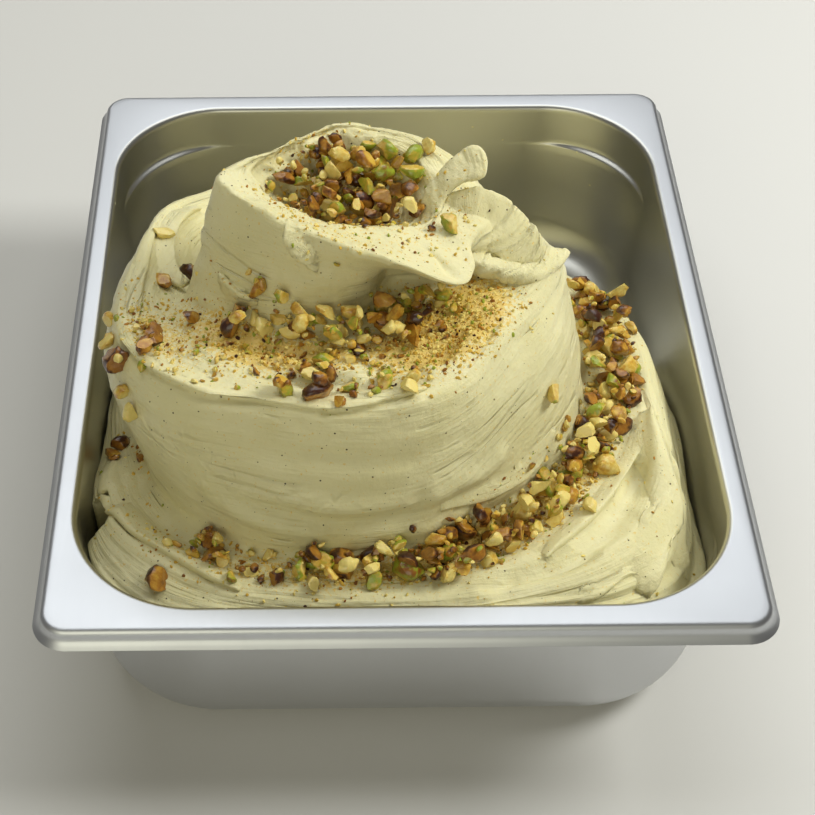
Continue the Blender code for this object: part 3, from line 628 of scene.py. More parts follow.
def rim_rings(under):
    """One face of the rim from its flat top out to the lip; under is how far it lies below the top face."""
    half_x, half_y = PAN_WIDTH / 2 - RIM_FLARE, PAN_LENGTH / 2 - RIM_FLARE
    corner = LIP_CORNER - RIM_FLARE
    bend = RIM_FILLET - under
    top = PAN_DEPTH - under
    rings = [rounded_rectangle(half_x - RIM_FILLET - 1, half_y - RIM_FILLET - 1, corner - RIM_FILLET + 3, top)]
    for step in range(SMALL_FILLET_STEPS + 1):
        turn = math.radians(90) * step / SMALL_FILLET_STEPS
        inset = RIM_FILLET - bend * math.sin(turn)
        height = PAN_DEPTH - RIM_FILLET + bend * math.cos(turn)
        rings.append(rounded_rectangle(half_x - inset, half_y - inset, corner - inset, height))
    rings.append(rounded_rectangle(half_x - under, half_y - under, corner - under, PAN_DEPTH - RIM_DROP))
    for share in (0.35, 0.7, 1.0):
        flare = RIM_FLARE * share**1.5 - under
        height = PAN_DEPTH - RIM_DROP - (LIP_DROP - RIM_DROP) * share
        rings.append(rounded_rectangle(half_x + flare, half_y + flare, corner + flare, height))
    return rings


def satin_steel(name, colour, roughness, brushing, along, splashes=None):
    """Stainless steel sheet, drawn in a press and satin finished.

    It gives broad soft highlights, with fine lines along the brushing and a faint cloudiness
    where the sheet was stretched. Splashes are dried drops of the given colour on it.
    """
    made, tree, shader = new_material(name, {"Base Color": (*colour, 1), "Metallic": 1.0})
    place = add(tree, "ShaderNodeTexCoord").outputs["Object"]
    # Brushed lines lie about 0.1 mm apart; they are drawn 1 mm apart and 17 mm long, to show from here.
    stretched = add(tree, "ShaderNodeMapping", {}, {"Vector": place, "Scale": along})
    lines = noise(tree, stretched, 1.0, 3.0, Roughness=0.6)
    # The stretched sheet is cloudy over some 35 mm.
    clouds = maths(tree, "MULTIPLY_ADD", noise(tree, place, 28.0, 3.0), 0.08, roughness - 0.06)
    height = add(tree, "ShaderNodeBump", {}, {"Strength": 0.1, "Distance": brushing, "Height": lines})
    plug(tree, shader, {"Roughness": maths(tree, "MULTIPLY_ADD", lines, 0.05, clouds), "Normal": height})
    if splashes is not None:
        # One cell of 7 mm in seven holds a drop of about 1 mm. Cream isn't metal.
        drop = dots(tree, place, 140.0, 0.06, 0.1, 0.14)
        bare = maths(tree, "SUBTRACT", 1.0, drop)
        plug(tree, shader, {"Base Color": blend(tree, drop, colour, splashes), "Metallic": bare})
    return made


class GELATO_OT_make_pan(bpy.types.Operator):
    """Makes the pressed steel pan with its turned-down rim and stacking shoulder"""

    bl_idname = "gelato.make_pan"
    bl_label = "Make Pan"

    def execute(self, context):
        settings = context.scene.gelato_pan
        inside = wall_rings(0.0)
        rim = rim_rings(0.0)
        rings = inside + rim + list(reversed(wall_rings(SHEET) + rim_rings(SHEET)))
        points = len(rings[0])
        faces = [tuple(reversed(face)) for face in skin_faces(len(rings), points)]
        cream = tuple(context.scene.gelato_gelato.cream)
        finishes = [
            satin_steel(f"{finish}_stainless_steel_{name}", tuple(colour), roughness, settings.brushing, along, drops)
            for finish, name, colour, roughness, along, drops in (
                ("drawn", "wall", settings.wall, settings.wall_roughness, (60, 60, 900), cream),
                ("satin", "rim", settings.rim, settings.rim_roughness, (900, 60, 60), None),
                ("satin", "outside", settings.outside, settings.rim_roughness, (60, 60, 900), None),
            )
        ]
        pan = mesh_object("pan", [point for ring in rings for point in ring], faces, finishes)
        slots = np.zeros(len(faces), np.int32)
        slots[1 + (len(inside) - 2) * points :] = 1
        slots[1 + (len(inside) + 2 * len(rim)) * points :] = 2
        pan.data.polygons.foreach_set("material_index", slots)
        pan.data.shade_smooth()
        pan.data.set_sharp_from_angle(angle=math.radians(60))
        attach(pan, "root")
        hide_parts("steel_pan")
        return {"FINISHED"}


def ring_at(stations, azimuths):
    """Radius and height of a closed ring at each azimuth, on a smooth curve through its stations."""
    table = np.array(sorted(stations), float)
    angle = np.concatenate([table[:, 0] - 360, table[:, 0], table[:, 0] + 360])
    value = np.concatenate([table[:, 1:]] * 3)
    span = np.diff(angle)[:, None]
    rise = np.diff(value, axis=0) / span
    slope = np.zeros_like(value)
    slope[1:-1] = (rise[:-1] * span[1:] + rise[1:] * span[:-1]) / (span[:-1] + span[1:])
    wanted = np.asarray(azimuths, float) % 360
    i = np.searchsorted(angle, wanted, side="right") - 1
    t = ((wanted - angle[i]) / span[i, 0])[:, None]
    start = (1 + 2 * t) * (1 - t) ** 2 * value[i] + t * (1 - t) ** 2 * span[i] * slope[i]
    end = t * t * (3 - 2 * t) * value[i + 1] + t * t * (t - 1) * span[i] * slope[i + 1]
    return start + end


def wall_distance(azimuths, height):
    """Distance from the swirl's axis to the steel less the clearance, at a height over the rim."""
    turn = np.radians(np.asarray(azimuths, float))
    depth = -np.asarray(height, float)
    lift = np.clip(PAN_DEPTH - SHEET - CLEARANCE - depth, 0, FLOOR_FILLET)
    inset = CLEARANCE + depth * math.tan(WALL_TAPER)
    inset = inset + FLOOR_FILLET - np.sqrt(FLOOR_FILLET**2 - (FLOOR_FILLET - lift) ** 2)
    half_x, half_y = OPENING_HALF_X - inset, OPENING_HALF_Y - inset
    corner = LOWER_CORNER - inset
    near, far = np.zeros_like(turn), np.full_like(turn, PAN_LENGTH)
    for _ in range(HALVINGS):
        middle = (near + far) / 2
        side_x = np.abs(AXIS_X + middle * np.cos(turn)) - (half_x - corner)
        side_y = np.abs(AXIS_Y + middle * np.sin(turn)) - (half_y - corner)
        reach = np.hypot(np.maximum(side_x, 0), np.maximum(side_y, 0))
        reach = reach + np.minimum(np.maximum(side_x, side_y), 0) - corner
        near = np.where(reach < 0, middle, near)
        far = np.where(reach < 0, far, middle)
    return near


def angle_from(azimuths, centre):
    """The angle from a centre to each azimuth, within half a turn."""
    return (np.asarray(azimuths) - centre + 180) % 360 - 180


def spread(azimuths, centre, half):
    """One at an azimuth, fading to nothing at its half spread on both sides."""
    return np.exp(-2 * (angle_from(azimuths, centre) / half) ** 2)


def corner_points(before, corner, after, radius, points):
    """Points across a rounded corner, from one side to the other."""
    back, ahead = before - corner, after - corner
    back_length = np.maximum(np.linalg.norm(back, axis=1, keepdims=True), 1e-6)
    ahead_length = np.maximum(np.linalg.norm(ahead, axis=1, keepdims=True), 1e-6)
    cut = np.minimum(radius, CORNER_SHARE * np.minimum(back_length, ahead_length))
    first, last = corner + back / back_length * cut, corner + ahead / ahead_length * cut
    shares = [step / (points - 1) for step in range(points)]
    return [(1 - t) ** 2 * first + 2 * t * (1 - t) * corner + t * t * last for t in shares]


def stretch_points(first, last, points, relief, azimuths):
    """Points between two corners, with folds or grooves of a given spread across them."""
    along = last - first
    normal = np.stack([-along[:, 1], along[:, 0]], -1)
    normal /= np.maximum(np.linalg.norm(normal, axis=1, keepdims=True), 1e-6)
    made = []
    for step in range(1, points + 1):
        share = step / (points + 1)
        point = first + along * share
        if relief:
            centre, half, depth, number = relief
            wave = abs(math.sin(math.pi * number * share + 0.5 * math.pi)) - 1.0
            point = point + normal * (depth * spread(azimuths, centre, half))[:, None] * wave
        made.append(point)
    return made


def gelato_sections(azimuths):
    """The gelato's outline at every azimuth: stations of radius and height over the rim."""
    crest, lip, foot = (ring_at(ring, azimuths) for ring in (CREST, LIP, ROLL_FOOT))
    centre, half, depth = CAVITY
    hollow = (spread(azimuths, centre, half) * depth)[:, None] * np.array([[1.0, 0.0]])
    foot = foot - CAVITY_FOOT_SHARE * hollow
    bowl = np.stack([crest[:, 0] * BOWL_SHARE, np.full(len(azimuths), BOWL_HEIGHT)], -1)
    skirt = ring_at(SKIRT, azimuths)
    skirt[:, 0] = np.minimum(skirt[:, 0], wall_distance(azimuths, skirt[:, 1]))
    rings = {
        "bowl": bowl,
        "crest": crest,
        "lip": lip,
        "under": (lip + foot) / 2 - hollow,
        "roll_foot": foot,
        "drum_edge": ring_at(DRUM_EDGE, azimuths),
        "belly": ring_at(BELLY, azimuths),
        "drum_foot": ring_at(DRUM_FOOT, azimuths),
        "ridge": ring_at(RIDGE, azimuths),
        "skirt": skirt,
    }
    middle = np.stack([np.zeros(len(azimuths)), np.full(len(azimuths), BOWL_HEIGHT)], -1)
    chain = [middle] + list(rings.values())
    corners = {}
    for i, name in enumerate(CORNERS, start=1):
        radius, points, _ = CORNERS[name]
        corners[name] = corner_points(chain[i - 1], chain[i], chain[i + 1], radius, points)
    names = list(CORNERS)
    first = corners["bowl"][0]
    outline = [middle + (first - middle) * share for share in np.linspace(0.02, 1, BOWL_RINGS, endpoint=False)]
    relief = {"ridge": FOLDS, "roll_foot": GROOVES}
    for i, name in enumerate(names):
        outline += corners[name]
        last = skirt if name == names[-1] else corners[names[i + 1]][0]
        outline += stretch_points(outline[-1], last, CORNERS[name][2], relief.get(name), azimuths)
    outline.append(skirt)
    floor = SHEET + CLEARANCE - PAN_DEPTH
    for share in FOOT_LEVELS:
        level = skirt[:, 1] + (floor - skirt[:, 1]) * share
        free = skirt[:, 0] - FREE_FOOT_ROUND * (1 - math.sqrt(1 - share**2))
        outline.append(np.stack([np.minimum(free, wall_distance(azimuths, level)), level], -1))
    return np.stack(outline, 1)


def swirl_mesh(azimuth_count):
    """The swirl as one closed skin, and how far along and across the sweep each point lies."""
    azimuths = np.arange(azimuth_count) * 360.0 / azimuth_count
    outline = gelato_sections(azimuths)
    step = np.linalg.norm(np.diff(outline, axis=1), axis=2).mean(0)
    across = np.concatenate([[0], np.cumsum(step)])
    turn = np.radians(azimuths)[:, None]
    points = np.stack(
        [AXIS_X + outline[..., 0] * np.cos(turn), AXIS_Y + outline[..., 0] * np.sin(turn), PAN_DEPTH + outline[..., 1]],
        -1,
    ).transpose(1, 0, 2)
    stations = points.shape[0]
    sweep = np.stack(
        [
            np.broadcast_to(np.cos(turn).T, (stations, azimuth_count)),
            np.broadcast_to(np.sin(turn).T, (stations, azimuth_count)),
            np.broadcast_to(across[:, None] * MM, (stations, azimuth_count)),
        ],
        -1,
    )
    faces = [tuple(reversed(face)) for face in skin_faces(stations, azimuth_count)]
    return points.reshape(-1, 3), faces, sweep.reshape(-1, 3)


def smooth_path(stations, steps):
    """Stations of a path with steps more between each two, on a smooth curve."""
    table = np.array([stations[0]] + list(stations) + [stations[-1]], float)
    made = []
    for i in range(1, len(table) - 2):
        before, start, end, after = table[i - 1 : i + 3]
        for step in range(steps):
            t = step / steps
            bend = (2 * before - 5 * start + 4 * end - after) * t**2 + (3 * start - before - 3 * end + after) * t**3
            made.append(0.5 * (2 * start + (end - before) * t + bend))
    return made + [table[-2]]


def sheet_mesh(name, stations, across, thick, sides=36, steps=12):
    """A thin sheet of gelato along a path, with an oval section and round ends."""
    across = Vector(across).normalized()
    path = smooth_path(stations, steps)
    whole = np.concatenate([[0], np.cumsum(np.linalg.norm(np.diff([p[:3] for p in path], axis=0), axis=1))])
    vertices = []
    for i, (x, y, height, half) in enumerate(path):
        before, after = path[max(i - 1, 0)], path[min(i + 1, len(path) - 1)]
        along = Vector(after[:3] - before[:3]).normalized()
        side = (across - along * across.dot(along)).normalized()
        normal = along.cross(side)
        centre = Vector((x, y, PAN_DEPTH + height))
        end = min(whole[i], whole[-1] - whole[i]) / (SHEET_END * half)
        share = math.sqrt(max(1 - (1 - min(end, 1)) ** 2, 0.01))
        for step in range(sides):
            turn = math.tau * step / sides
            wide = half * share * math.cos(turn)
            deep = thick / 2 * share**0.5 * math.copysign(abs(math.sin(turn)) ** SHEET_POWER, math.sin(turn))
            vertices.append(centre + side * wide + normal * deep)
    return mesh_object(name, vertices, skin_faces(len(path), sides))


def evened(rows):
    """Rows of points, each moved to the mean of its neighbours along the path."""
    padded = np.pad(rows, ((3, 3),) + ((0, 0),) * (rows.ndim - 1), mode="edge")
    return sum(padded[shift : shift + len(rows)] for shift in range(7)) / 7


def layer_mesh(tree, width, lift, line, steps=5):
    """A layer with a thin free edge along a line, whose back sinks into the gelato it lies on."""
    path = np.array(smooth_path(line, steps))
    along = np.gradient(path, axis=0)
    normals = np.array([tree.find_nearest(Vector(point) * MM)[1] for point in path])
    left = np.cross(evened(normals), along)
    left /= np.linalg.norm(left, axis=1, keepdims=True)
    run = np.concatenate([[0], np.cumsum(np.linalg.norm(np.diff(path, axis=0), axis=1))])
    bases, lifts = np.zeros((2, len(path), len(LAYER_SECTION), 3))
    for i, point in enumerate(path):
        end = min(run[i], run[-1] - run[i], width) / width
        share = max(math.sqrt(1 - (1 - end) ** 2), 0.1)
        for step, (inward, upward) in enumerate(LAYER_SECTION):
            place = Vector(point + left[i] * (inward * width * share)) * MM
            base, normal, _, _ = tree.find_nearest(place)
            bases[i, step] = base / MM
            lifts[i, step] = normal * (upward * lift * share)
    vertices = (evened(bases) + evened(lifts)).reshape(-1, 3)
    return mesh_object("layer", inside_wall(vertices), skin_faces(len(path), len(LAYER_SECTION)))


def inside_wall(points):
    """The points, with those beyond the steel pulled back to it."""
    azimuth, distance = polar(points)
    limit = wall_distance(azimuth, np.minimum(points[:, 2] - PAN_DEPTH, 0.0))
    share = np.minimum(limit / np.maximum(distance, 1.0), 1.0)
    pulled = points.copy()
    pulled[:, 0] = AXIS_X + (points[:, 0] - AXIS_X) * share
    pulled[:, 1] = AXIS_Y + (points[:, 1] - AXIS_Y) * share
    return pulled


def carve(points):
    """How far the spatula's lines move each point along its normal, in millimetres."""
    shift = np.zeros(len(points))
    for kind, width, height, line in TRACES:
        height = height * TRACE_GAIN
        path = np.array(smooth_path(line, 4))
        reach = 4 * width
        inside = np.all((points > path.min(0) - reach) & (points < path.max(0) + reach), axis=1)
        near = points[inside]
        best = np.full(len(near), 1e9)
        share = np.zeros(len(near))
        for i in range(len(path) - 1):
            along = path[i + 1] - path[i]
            length = np.linalg.norm(along)
            t = np.clip((near - path[i]) @ along / length**2, 0, 1)
            away = near - path[i] - t[:, None] * along
            distance = np.linalg.norm(away, axis=1)
            closer = distance < best
            best = np.where(closer, distance, best)
            share = np.where(closer, (i + t) / (len(path) - 1), share)
        ends = np.clip(share / TRACE_FADE, 0, 1) * np.clip((1 - share) / TRACE_FADE, 0, 1)
        amount = height * np.exp(-((best / width) ** 2)) * (1 if kind == "ridge" else -1)
        shift[inside] += amount * ends
    return shift


def polar(points):
    """Azimuth in degrees and distance from the swirl's axis of points in millimetres."""
    x, y = points[:, 0] - AXIS_X, points[:, 1] - AXIS_Y
    return np.degrees(np.arctan2(y, x)) % 360, np.hypot(x, y)


def store(mesh, name, kind, values):
    """Keeps one value or vector for each point under a name."""
    slot = "vector" if kind == "FLOAT_VECTOR" else "value"
    made = mesh.attributes.new(name, kind, "POINT")
    made.data.foreach_set(slot, np.asarray(values, np.int32 if kind == "INT" else np.float32).ravel())


def fuse(body, extras):
    """One Boolean union of the body with everything in a collection, then applied."""
    group = bpy.data.collections.new("fused")
    for extra in extras:
        bpy.context.scene.collection.objects.unlink(extra)
        group.objects.link(extra)
    bpy.context.scene.collection.children.link(group)
    union = body.modifiers.new("fused pieces", "BOOLEAN")
    union.operation = "UNION"
    union.operand_type = "COLLECTION"
    union.collection = group
    union.solver = "MANIFOLD"
    fused = bpy.data.meshes.new_from_object(body.evaluated_get(bpy.context.evaluated_depsgraph_get()))
    body.modifiers.remove(union)
    body.data = fused
    for extra in extras:
        bpy.data.objects.remove(extra, do_unlink=True)
    bpy.data.collections.remove(group)


def set_inputs(modifier, values):
    """Sets a Geometry Nodes modifier's inputs, found by name, through their identifiers."""
    for item in modifier.node_group.interface.items_tree:
        if item.item_type == "SOCKET" and item.in_out == "INPUT" and item.name in values:
            modifier[item.identifier] = values[item.name]


def geometry_tree(name, inputs):
    """An empty Geometry Nodes tree with named inputs: {name: (socket type, default)}."""
    tree = bpy.data.node_groups.new(name, "GeometryNodeTree")
    tree.interface.new_socket("Geometry", in_out="INPUT", socket_type="NodeSocketGeometry")
    for label, (kind, default) in inputs.items():
        made = tree.interface.new_socket(label, in_out="INPUT", socket_type=kind)
        if default is not None:
            made.default_value = default
    tree.interface.new_socket("Geometry", in_out="OUTPUT", socket_type="NodeSocketGeometry")
    return tree, add(tree, "NodeGroupInput").outputs


def finish_tree(tree, geometry, material):
    """Ends a tree in Realize Instances and Set Material."""
    real = add(tree, "GeometryNodeRealizeInstances", {}, {"Geometry": geometry})
    painted = add(tree, "GeometryNodeSetMaterial", {}, {"Geometry": real, "Material": material})
    add(tree, "NodeGroupOutput", {}, {"Geometry": painted})


def apply_tree(made, tree, values):
    """Runs a tree on an object and keeps the result as its plain mesh."""
    modifier = made.modifiers.new(tree.name, "NODES")
    modifier.node_group = tree
    set_inputs(modifier, values)
    context = bpy.context
    context.view_layer.update()
    mesh = bpy.data.meshes.new_from_object(made.evaluated_get(context.evaluated_depsgraph_get()))
    made.modifiers.remove(modifier)
    made.data = mesh
    return made


def relief_tree():
    """Moves a swept surface along its normal: streaks that follow the sweep and soft lumps."""
    tree, given = geometry_tree(
        "gelato_relief",
        {
            "Streak depth": ("NodeSocketFloat", 0.0042),
            "Streak spacing": ("NodeSocketFloat", 0.0048),
            "Lump height": ("NodeSocketFloat", 0.0013),
            "Material": ("NodeSocketMaterial", None),
        },
    )
    parts = add(tree, "ShaderNodeSeparateXYZ", {}, {"Vector": stored(tree, "sweep")})
    across = maths(tree, "DIVIDE", parts.outputs["Z"], given["Streak spacing"])
    level = add(tree, "ShaderNodeCombineXYZ", {}, {"Z": across})
    turns = add(tree, "ShaderNodeCombineXYZ", {}, {"X": parts.outputs["X"], "Y": parts.outputs["Y"]})
    stretched = vector_maths(tree, "ADD", vector_maths(tree, "SCALE", turns, Scale=2.6), level)
    streaks = noise(tree, stretched, 1.0, 3.0, Roughness=0.55)
    lumps = noise(tree, add(tree, "GeometryNodeInputPosition"), 40.0, 3.0)
    heights = [
        maths(tree, "MULTIPLY", maths(tree, "SUBTRACT", pattern, 0.5), given[depth])
        for pattern, depth in ((streaks, "Streak depth"), (lumps, "Lump height"))
    ]
    calmed = maths(tree, "MULTIPLY", maths(tree, "ADD", *heights), stored(tree, "calm", "FLOAT"))
    offset = vector_maths(tree, "SCALE", add(tree, "GeometryNodeInputNormal"), Scale=calmed)
    moved = add(tree, "GeometryNodeSetPosition", {}, {"Geometry": given["Geometry"], "Offset": offset})
    finish_tree(tree, moved, given["Material"])
    return tree


def frozen_cream(settings):
    """Churned pistachio gelato, spread with a spatula.

    Light goes a little way in, so shadows are soft and warm. The surface is satin, with fine
    streaks along the sweep, small air holes, and specks of ground skin.
    """
    made, tree, shader = new_material(
        "churned_pistachio_gelato",
        {
            "Roughness": 0.36,
            "IOR": 1.4,
            "Subsurface Weight": 0.15,
            "Subsurface Radius": (1.0, 0.8, 0.4),
            "Subsurface Scale": 0.0015,
        },
    )
    place = add(tree, "ShaderNodeTexCoord").outputs["Object"]
    names = ("sweep", "dust", "torn")
    sweep, dust, torn = (add(tree, "ShaderNodeAttribute", {"attribute_name": name}) for name in names)
    # Paste is mixed in unevenly, in clouds of about 30 mm.
    colour = blend(tree, noise(tree, place, 30.0, 4.0, Distortion=0.6), settings.shade, settings.cream)
    # Specks of 0.3 to 0.9 mm, in nearly half of the cells of 4.3 and of 2.4 mm.
    for cells, size in ((230.0, 0.06), (420.0, 0.055)):
        speck = dots(tree, place, cells, size, size * 1.7, 0.45, {"interpolation_type": "SMOOTHSTEP"})
        colour = blend(tree, speck, colour, settings.speck)
    # Golden nut dust lies thickest where the crumbs do, in grains of about 1 mm.
    grains = noise(tree, place, 700.0, 3.0, Roughness=0.7)
    powder = span(tree, maths(tree, "MULTIPLY_ADD", dust.outputs["Fac"], 0.42, grains), 0.62, 0.72)
    colour = blend(tree, powder, colour, settings.dust)
    # Fine streaks left by the spatula's edge, 1.2 mm apart and some 20 mm long.
    stretched = add(tree, "ShaderNodeMapping", {}, {"Vector": sweep.outputs["Vector"], "Scale": (4.0, 4.0, 800.0)})
    streaks = noise(tree, stretched, 1.0, 4.0, Roughness=0.55)
    # The streaks show in patches of some 20 mm; between them the cream was smoothed.
    smoothed = noise(tree, place, 50.0, 2.0)
    shown = maths(tree, "MULTIPLY", streaks, span(tree, smoothed, 0.36, 0.62, 0.15))
    # Air holes of up to 2 mm.
    height = maths(tree, "MULTIPLY_ADD", noise(tree, place, 420.0, 3.0, Roughness=0.6), 0.4, shown)
    # The spatula's corners left a few thin creases, some 10 mm apart and over 100 mm long.
    drawn_out = add(tree, "ShaderNodeMapping", {}, {"Vector": sweep.outputs["Vector"], "Scale": (0.7, 0.7, 95.0)})
    wandering = noise(tree, drawn_out, 1.0, 1.0, Roughness=0.4)
    away = maths(tree, "ABSOLUTE", maths(tree, "SUBTRACT", wandering, 0.5))
    crease = maths(tree, "MULTIPLY", span(tree, away, 0.0, 0.03, -0.8, 0.0), span(tree, smoothed, 0.5, 0.62))
    height = maths(tree, "ADD", height, crease)
    # Ice crystals tore a rough web, from 6 mm across down to less than 1 mm, where the surface froze hard.
    web = noise(tree, place, 170.0, 5.0, {"noise_type": "RIDGED_MULTIFRACTAL"}, Distortion=0.8)
    height = maths(tree, "MULTIPLY_ADD", maths(tree, "MULTIPLY", web, torn.outputs["Fac"]), 1.9, height)
    relief = add(tree, "ShaderNodeBump", {}, {"Strength": 0.8, "Distance": 0.0011, "Height": height})
    plug(tree, shader, {"Base Color": colour, "Normal": relief})
    return made


def read_vectors(items, field):
    """A vector field of a mesh's points, one row for each."""
    values = np.empty(len(items) * 3)
    items.foreach_get(field, values)
    return values.reshape(-1, 3)


class GELATO_OT_make_gelato(bpy.types.Operator):
    """Makes the swirled gelato with its tongue, ribbon and ledge, and the spatula's streaks"""

    bl_idname = "gelato.make_gelato"
    bl_label = "Make Gelato"

    def execute(self, context):
        settings = context.scene.gelato_gelato
        points, faces, sweep = swirl_mesh(settings.azimuths)
        body = mesh_object("gelato_swirl", points, faces)
        tree = kdtree.KDTree(len(points))
        for i, point in enumerate(points * MM):
            tree.insert(point, i)
        tree.balance()
        context.view_layer.update()
        skin = BVHTree.FromObject(body, context.evaluated_depsgraph_get())
        extras = [sheet_mesh(name, row["path"], row["across"], row["thick"]) for name, row in SHEETS.items()]
        extras += [layer_mesh(skin, *row) for row in LAYERS]
        fuse(body, extras)
        mesh = body.data
        nearest = np.array([tree.find(vertex.co)[1] for vertex in mesh.vertices])
        points = read_vectors(mesh.vertices, "co") / MM
        normals = read_vectors(mesh.vertex_normals, "vector")
        carved = inside_wall(points + normals * carve(points)[:, None])
        mesh.vertices.foreach_set("co", (carved * MM).ravel())
        store(mesh, "sweep", "FLOAT_VECTOR", sweep[nearest])
        store(mesh, "calm", "FLOAT", points[:, 2] > SHEET + CLEARANCE + CALM_HEIGHT)
        azimuth, distance = polar(points)
        height = points[:, 2] - PAN_DEPTH
        torn = np.zeros(len(points))
        for centre, level, along, up in TORN_PATCHES:
            away = angle_from(azimuth, centre)
            torn = np.maximum(torn, np.exp(-((away / along) ** 2) - ((height - level) / up) ** 2))
        store(mesh, "torn", "FLOAT", torn * (distance > TORN_FROM))
        dust = np.full(len(points), DUST_ALL_OVER)
        for centre, middle, along, across, amount, highest in CRUMBS:
            away = angle_from(azimuth, centre)
            heap = amount * np.exp(-((away / along) ** 2) - ((distance - middle) / across) ** 2)
            dust += heap * (height < highest)
        # Dust stays where the surface faces up: none below the first slope, all of it above the second.
        store(mesh, "dust", "FLOAT", dust * np.clip((normals[:, 2] - DUST_SLOPE) / DUST_FADE, 0, 1))
        apply_tree(
            body,
            relief_tree(),
            {
                "Streak depth": settings.streak_depth,
                "Streak spacing": settings.streak_spacing,
                "Lump height": settings.lump_height,
                "Material": frozen_cream(settings),
            },
        )
        body.data.shade_smooth()
        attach(body, "root")
        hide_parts("gelato")
        return {"FINISHED"}


def surface_under(tree, azimuth, distance):
    """The place and normal of the gelato's upper side at a polar place, in millimetres.

    Where several sides lie over one another, the one nearest to the swirl's own rings is taken.
    """
    turn = math.radians(azimuth)
    x = AXIS_X + distance * math.cos(turn)
    y = AXIS_Y + distance * math.sin(turn)
    nearest = min(
        (ring_at(ring, [azimuth])[0] for ring in (CREST, ROLL_FOOT, DRUM_EDGE, DRUM_FOOT, RIDGE)),
        key=lambda station: abs(station[0] - distance),
    )
    found = []
    start = Vector((x, y, PAN_DEPTH + ABOVE_ALL)) * MM
    while True:
        place, normal, _, _ = tree.ray_cast(start, Vector((0, 0, -1)))
        if place is None:
            break
        if normal.z > STEEPEST_UNDER_NUT:
            found.append((place / MM, normal))
        start = place - Vector((0, 0, STEP_PAST * MM))
    return min(found, key=lambda hit: abs(hit[0].z - PAN_DEPTH - nearest[1]), default=None)


def nut_tree():
    """Turns points into chopped kernels: an uneven oval with flat faces cut at random, then grained."""
    tree, given = geometry_tree(
        "chopped_nuts",
        {
            "Roundness": ("NodeSocketInt", 3),
            "Cut depth": ("NodeSocketFloat", 0.22),
            "Unevenness": ("NodeSocketFloat", 0.62),
            "Grain": ("NodeSocketFloat", 0.5),
            "Seed": ("NodeSocketInt", 1),
            "Material": ("NodeSocketMaterial", None),
        },
    )
    ball = add(tree, "GeometryNodeMeshIcoSphere", {}, {"Radius": 1.0, "Subdivisions": given["Roundness"]})
    place = add(tree, "GeometryNodeInputPosition")
    marked = kept(tree, ball.outputs["Mesh"], "local", place, "FLOAT_VECTOR")
    points = add(tree, "GeometryNodeMeshToPoints", {}, {"Mesh": given["Geometry"]})
    placed = add(tree, "GeometryNodeInstanceOnPoints", {}, {"Points": points, "Instance": marked})
    real = add(tree, "GeometryNodeRealizeInstances", {}, {"Geometry": placed})
    nut = stored(tree, "nut", "INT")
    local = stored(tree, "local")
    own = {"W": maths(tree, "MULTIPLY", nut, 7.31)}

    def uneven(shape, scale, detail, amount):
        """The shape, swollen and shrunk by noise of its own in each nut."""
        pattern = noise(tree, local, scale, detail, {"noise_dimensions": "4D"}, **own)
        swelled = maths(tree, "MULTIPLY_ADD", maths(tree, "SUBTRACT", pattern, 0.5), given[amount], 1.0)
        return vector_maths(tree, "SCALE", shape, Scale=swelled)

    shape = uneven(local, 1.3, 2.0, "Unevenness")
    cut = None
    for number in range(NUT_CUTS):
        seed = maths(tree, "ADD", given["Seed"], float(number * 17))
        face = vector_maths(tree, "NORMALIZE", drawn(tree, (-1, -1, -1), (1, 1, 1), ID=nut, Seed=seed))
        depth = drawn(tree, *NUT_CUT_DEPTHS, ID=nut, Seed=seed)
        level = maths(tree, "SUBTRACT", depth, given["Cut depth"])
        height = vector_maths(tree, "DOT_PRODUCT", shape, face)
        over = maths(tree, "SUBTRACT", height.outputs["Value"], level)
        drop = vector_maths(tree, "SCALE", face, Scale=maths(tree, "MAXIMUM", over, 0.0))
        shape = vector_maths(tree, "SUBTRACT", shape, drop)
        bare = maths(tree, "GREATER_THAN", over, 0.0)
        cut = bare if cut is None else maths(tree, "MAXIMUM", cut, bare)
    sized = vector_maths(tree, "MULTIPLY", uneven(shape, 3.4, 3.0, "Grain"), stored(tree, "size"))
    rotation = add(tree, "FunctionNodeEulerToRotation", {}, {0: stored(tree, "turn")})
    turned = add(tree, "FunctionNodeRotateVector", {}, {"Vector": sized, "Rotation": rotation})
    final = vector_maths(tree, "ADD", turned, stored(tree, "centre"))
    sockets = {"Geometry": kept(tree, real, "cut", cut), "Position": final}
    finish_tree(tree, add(tree, "GeometryNodeSetPosition", {}, sockets), given["Material"])
    return tree


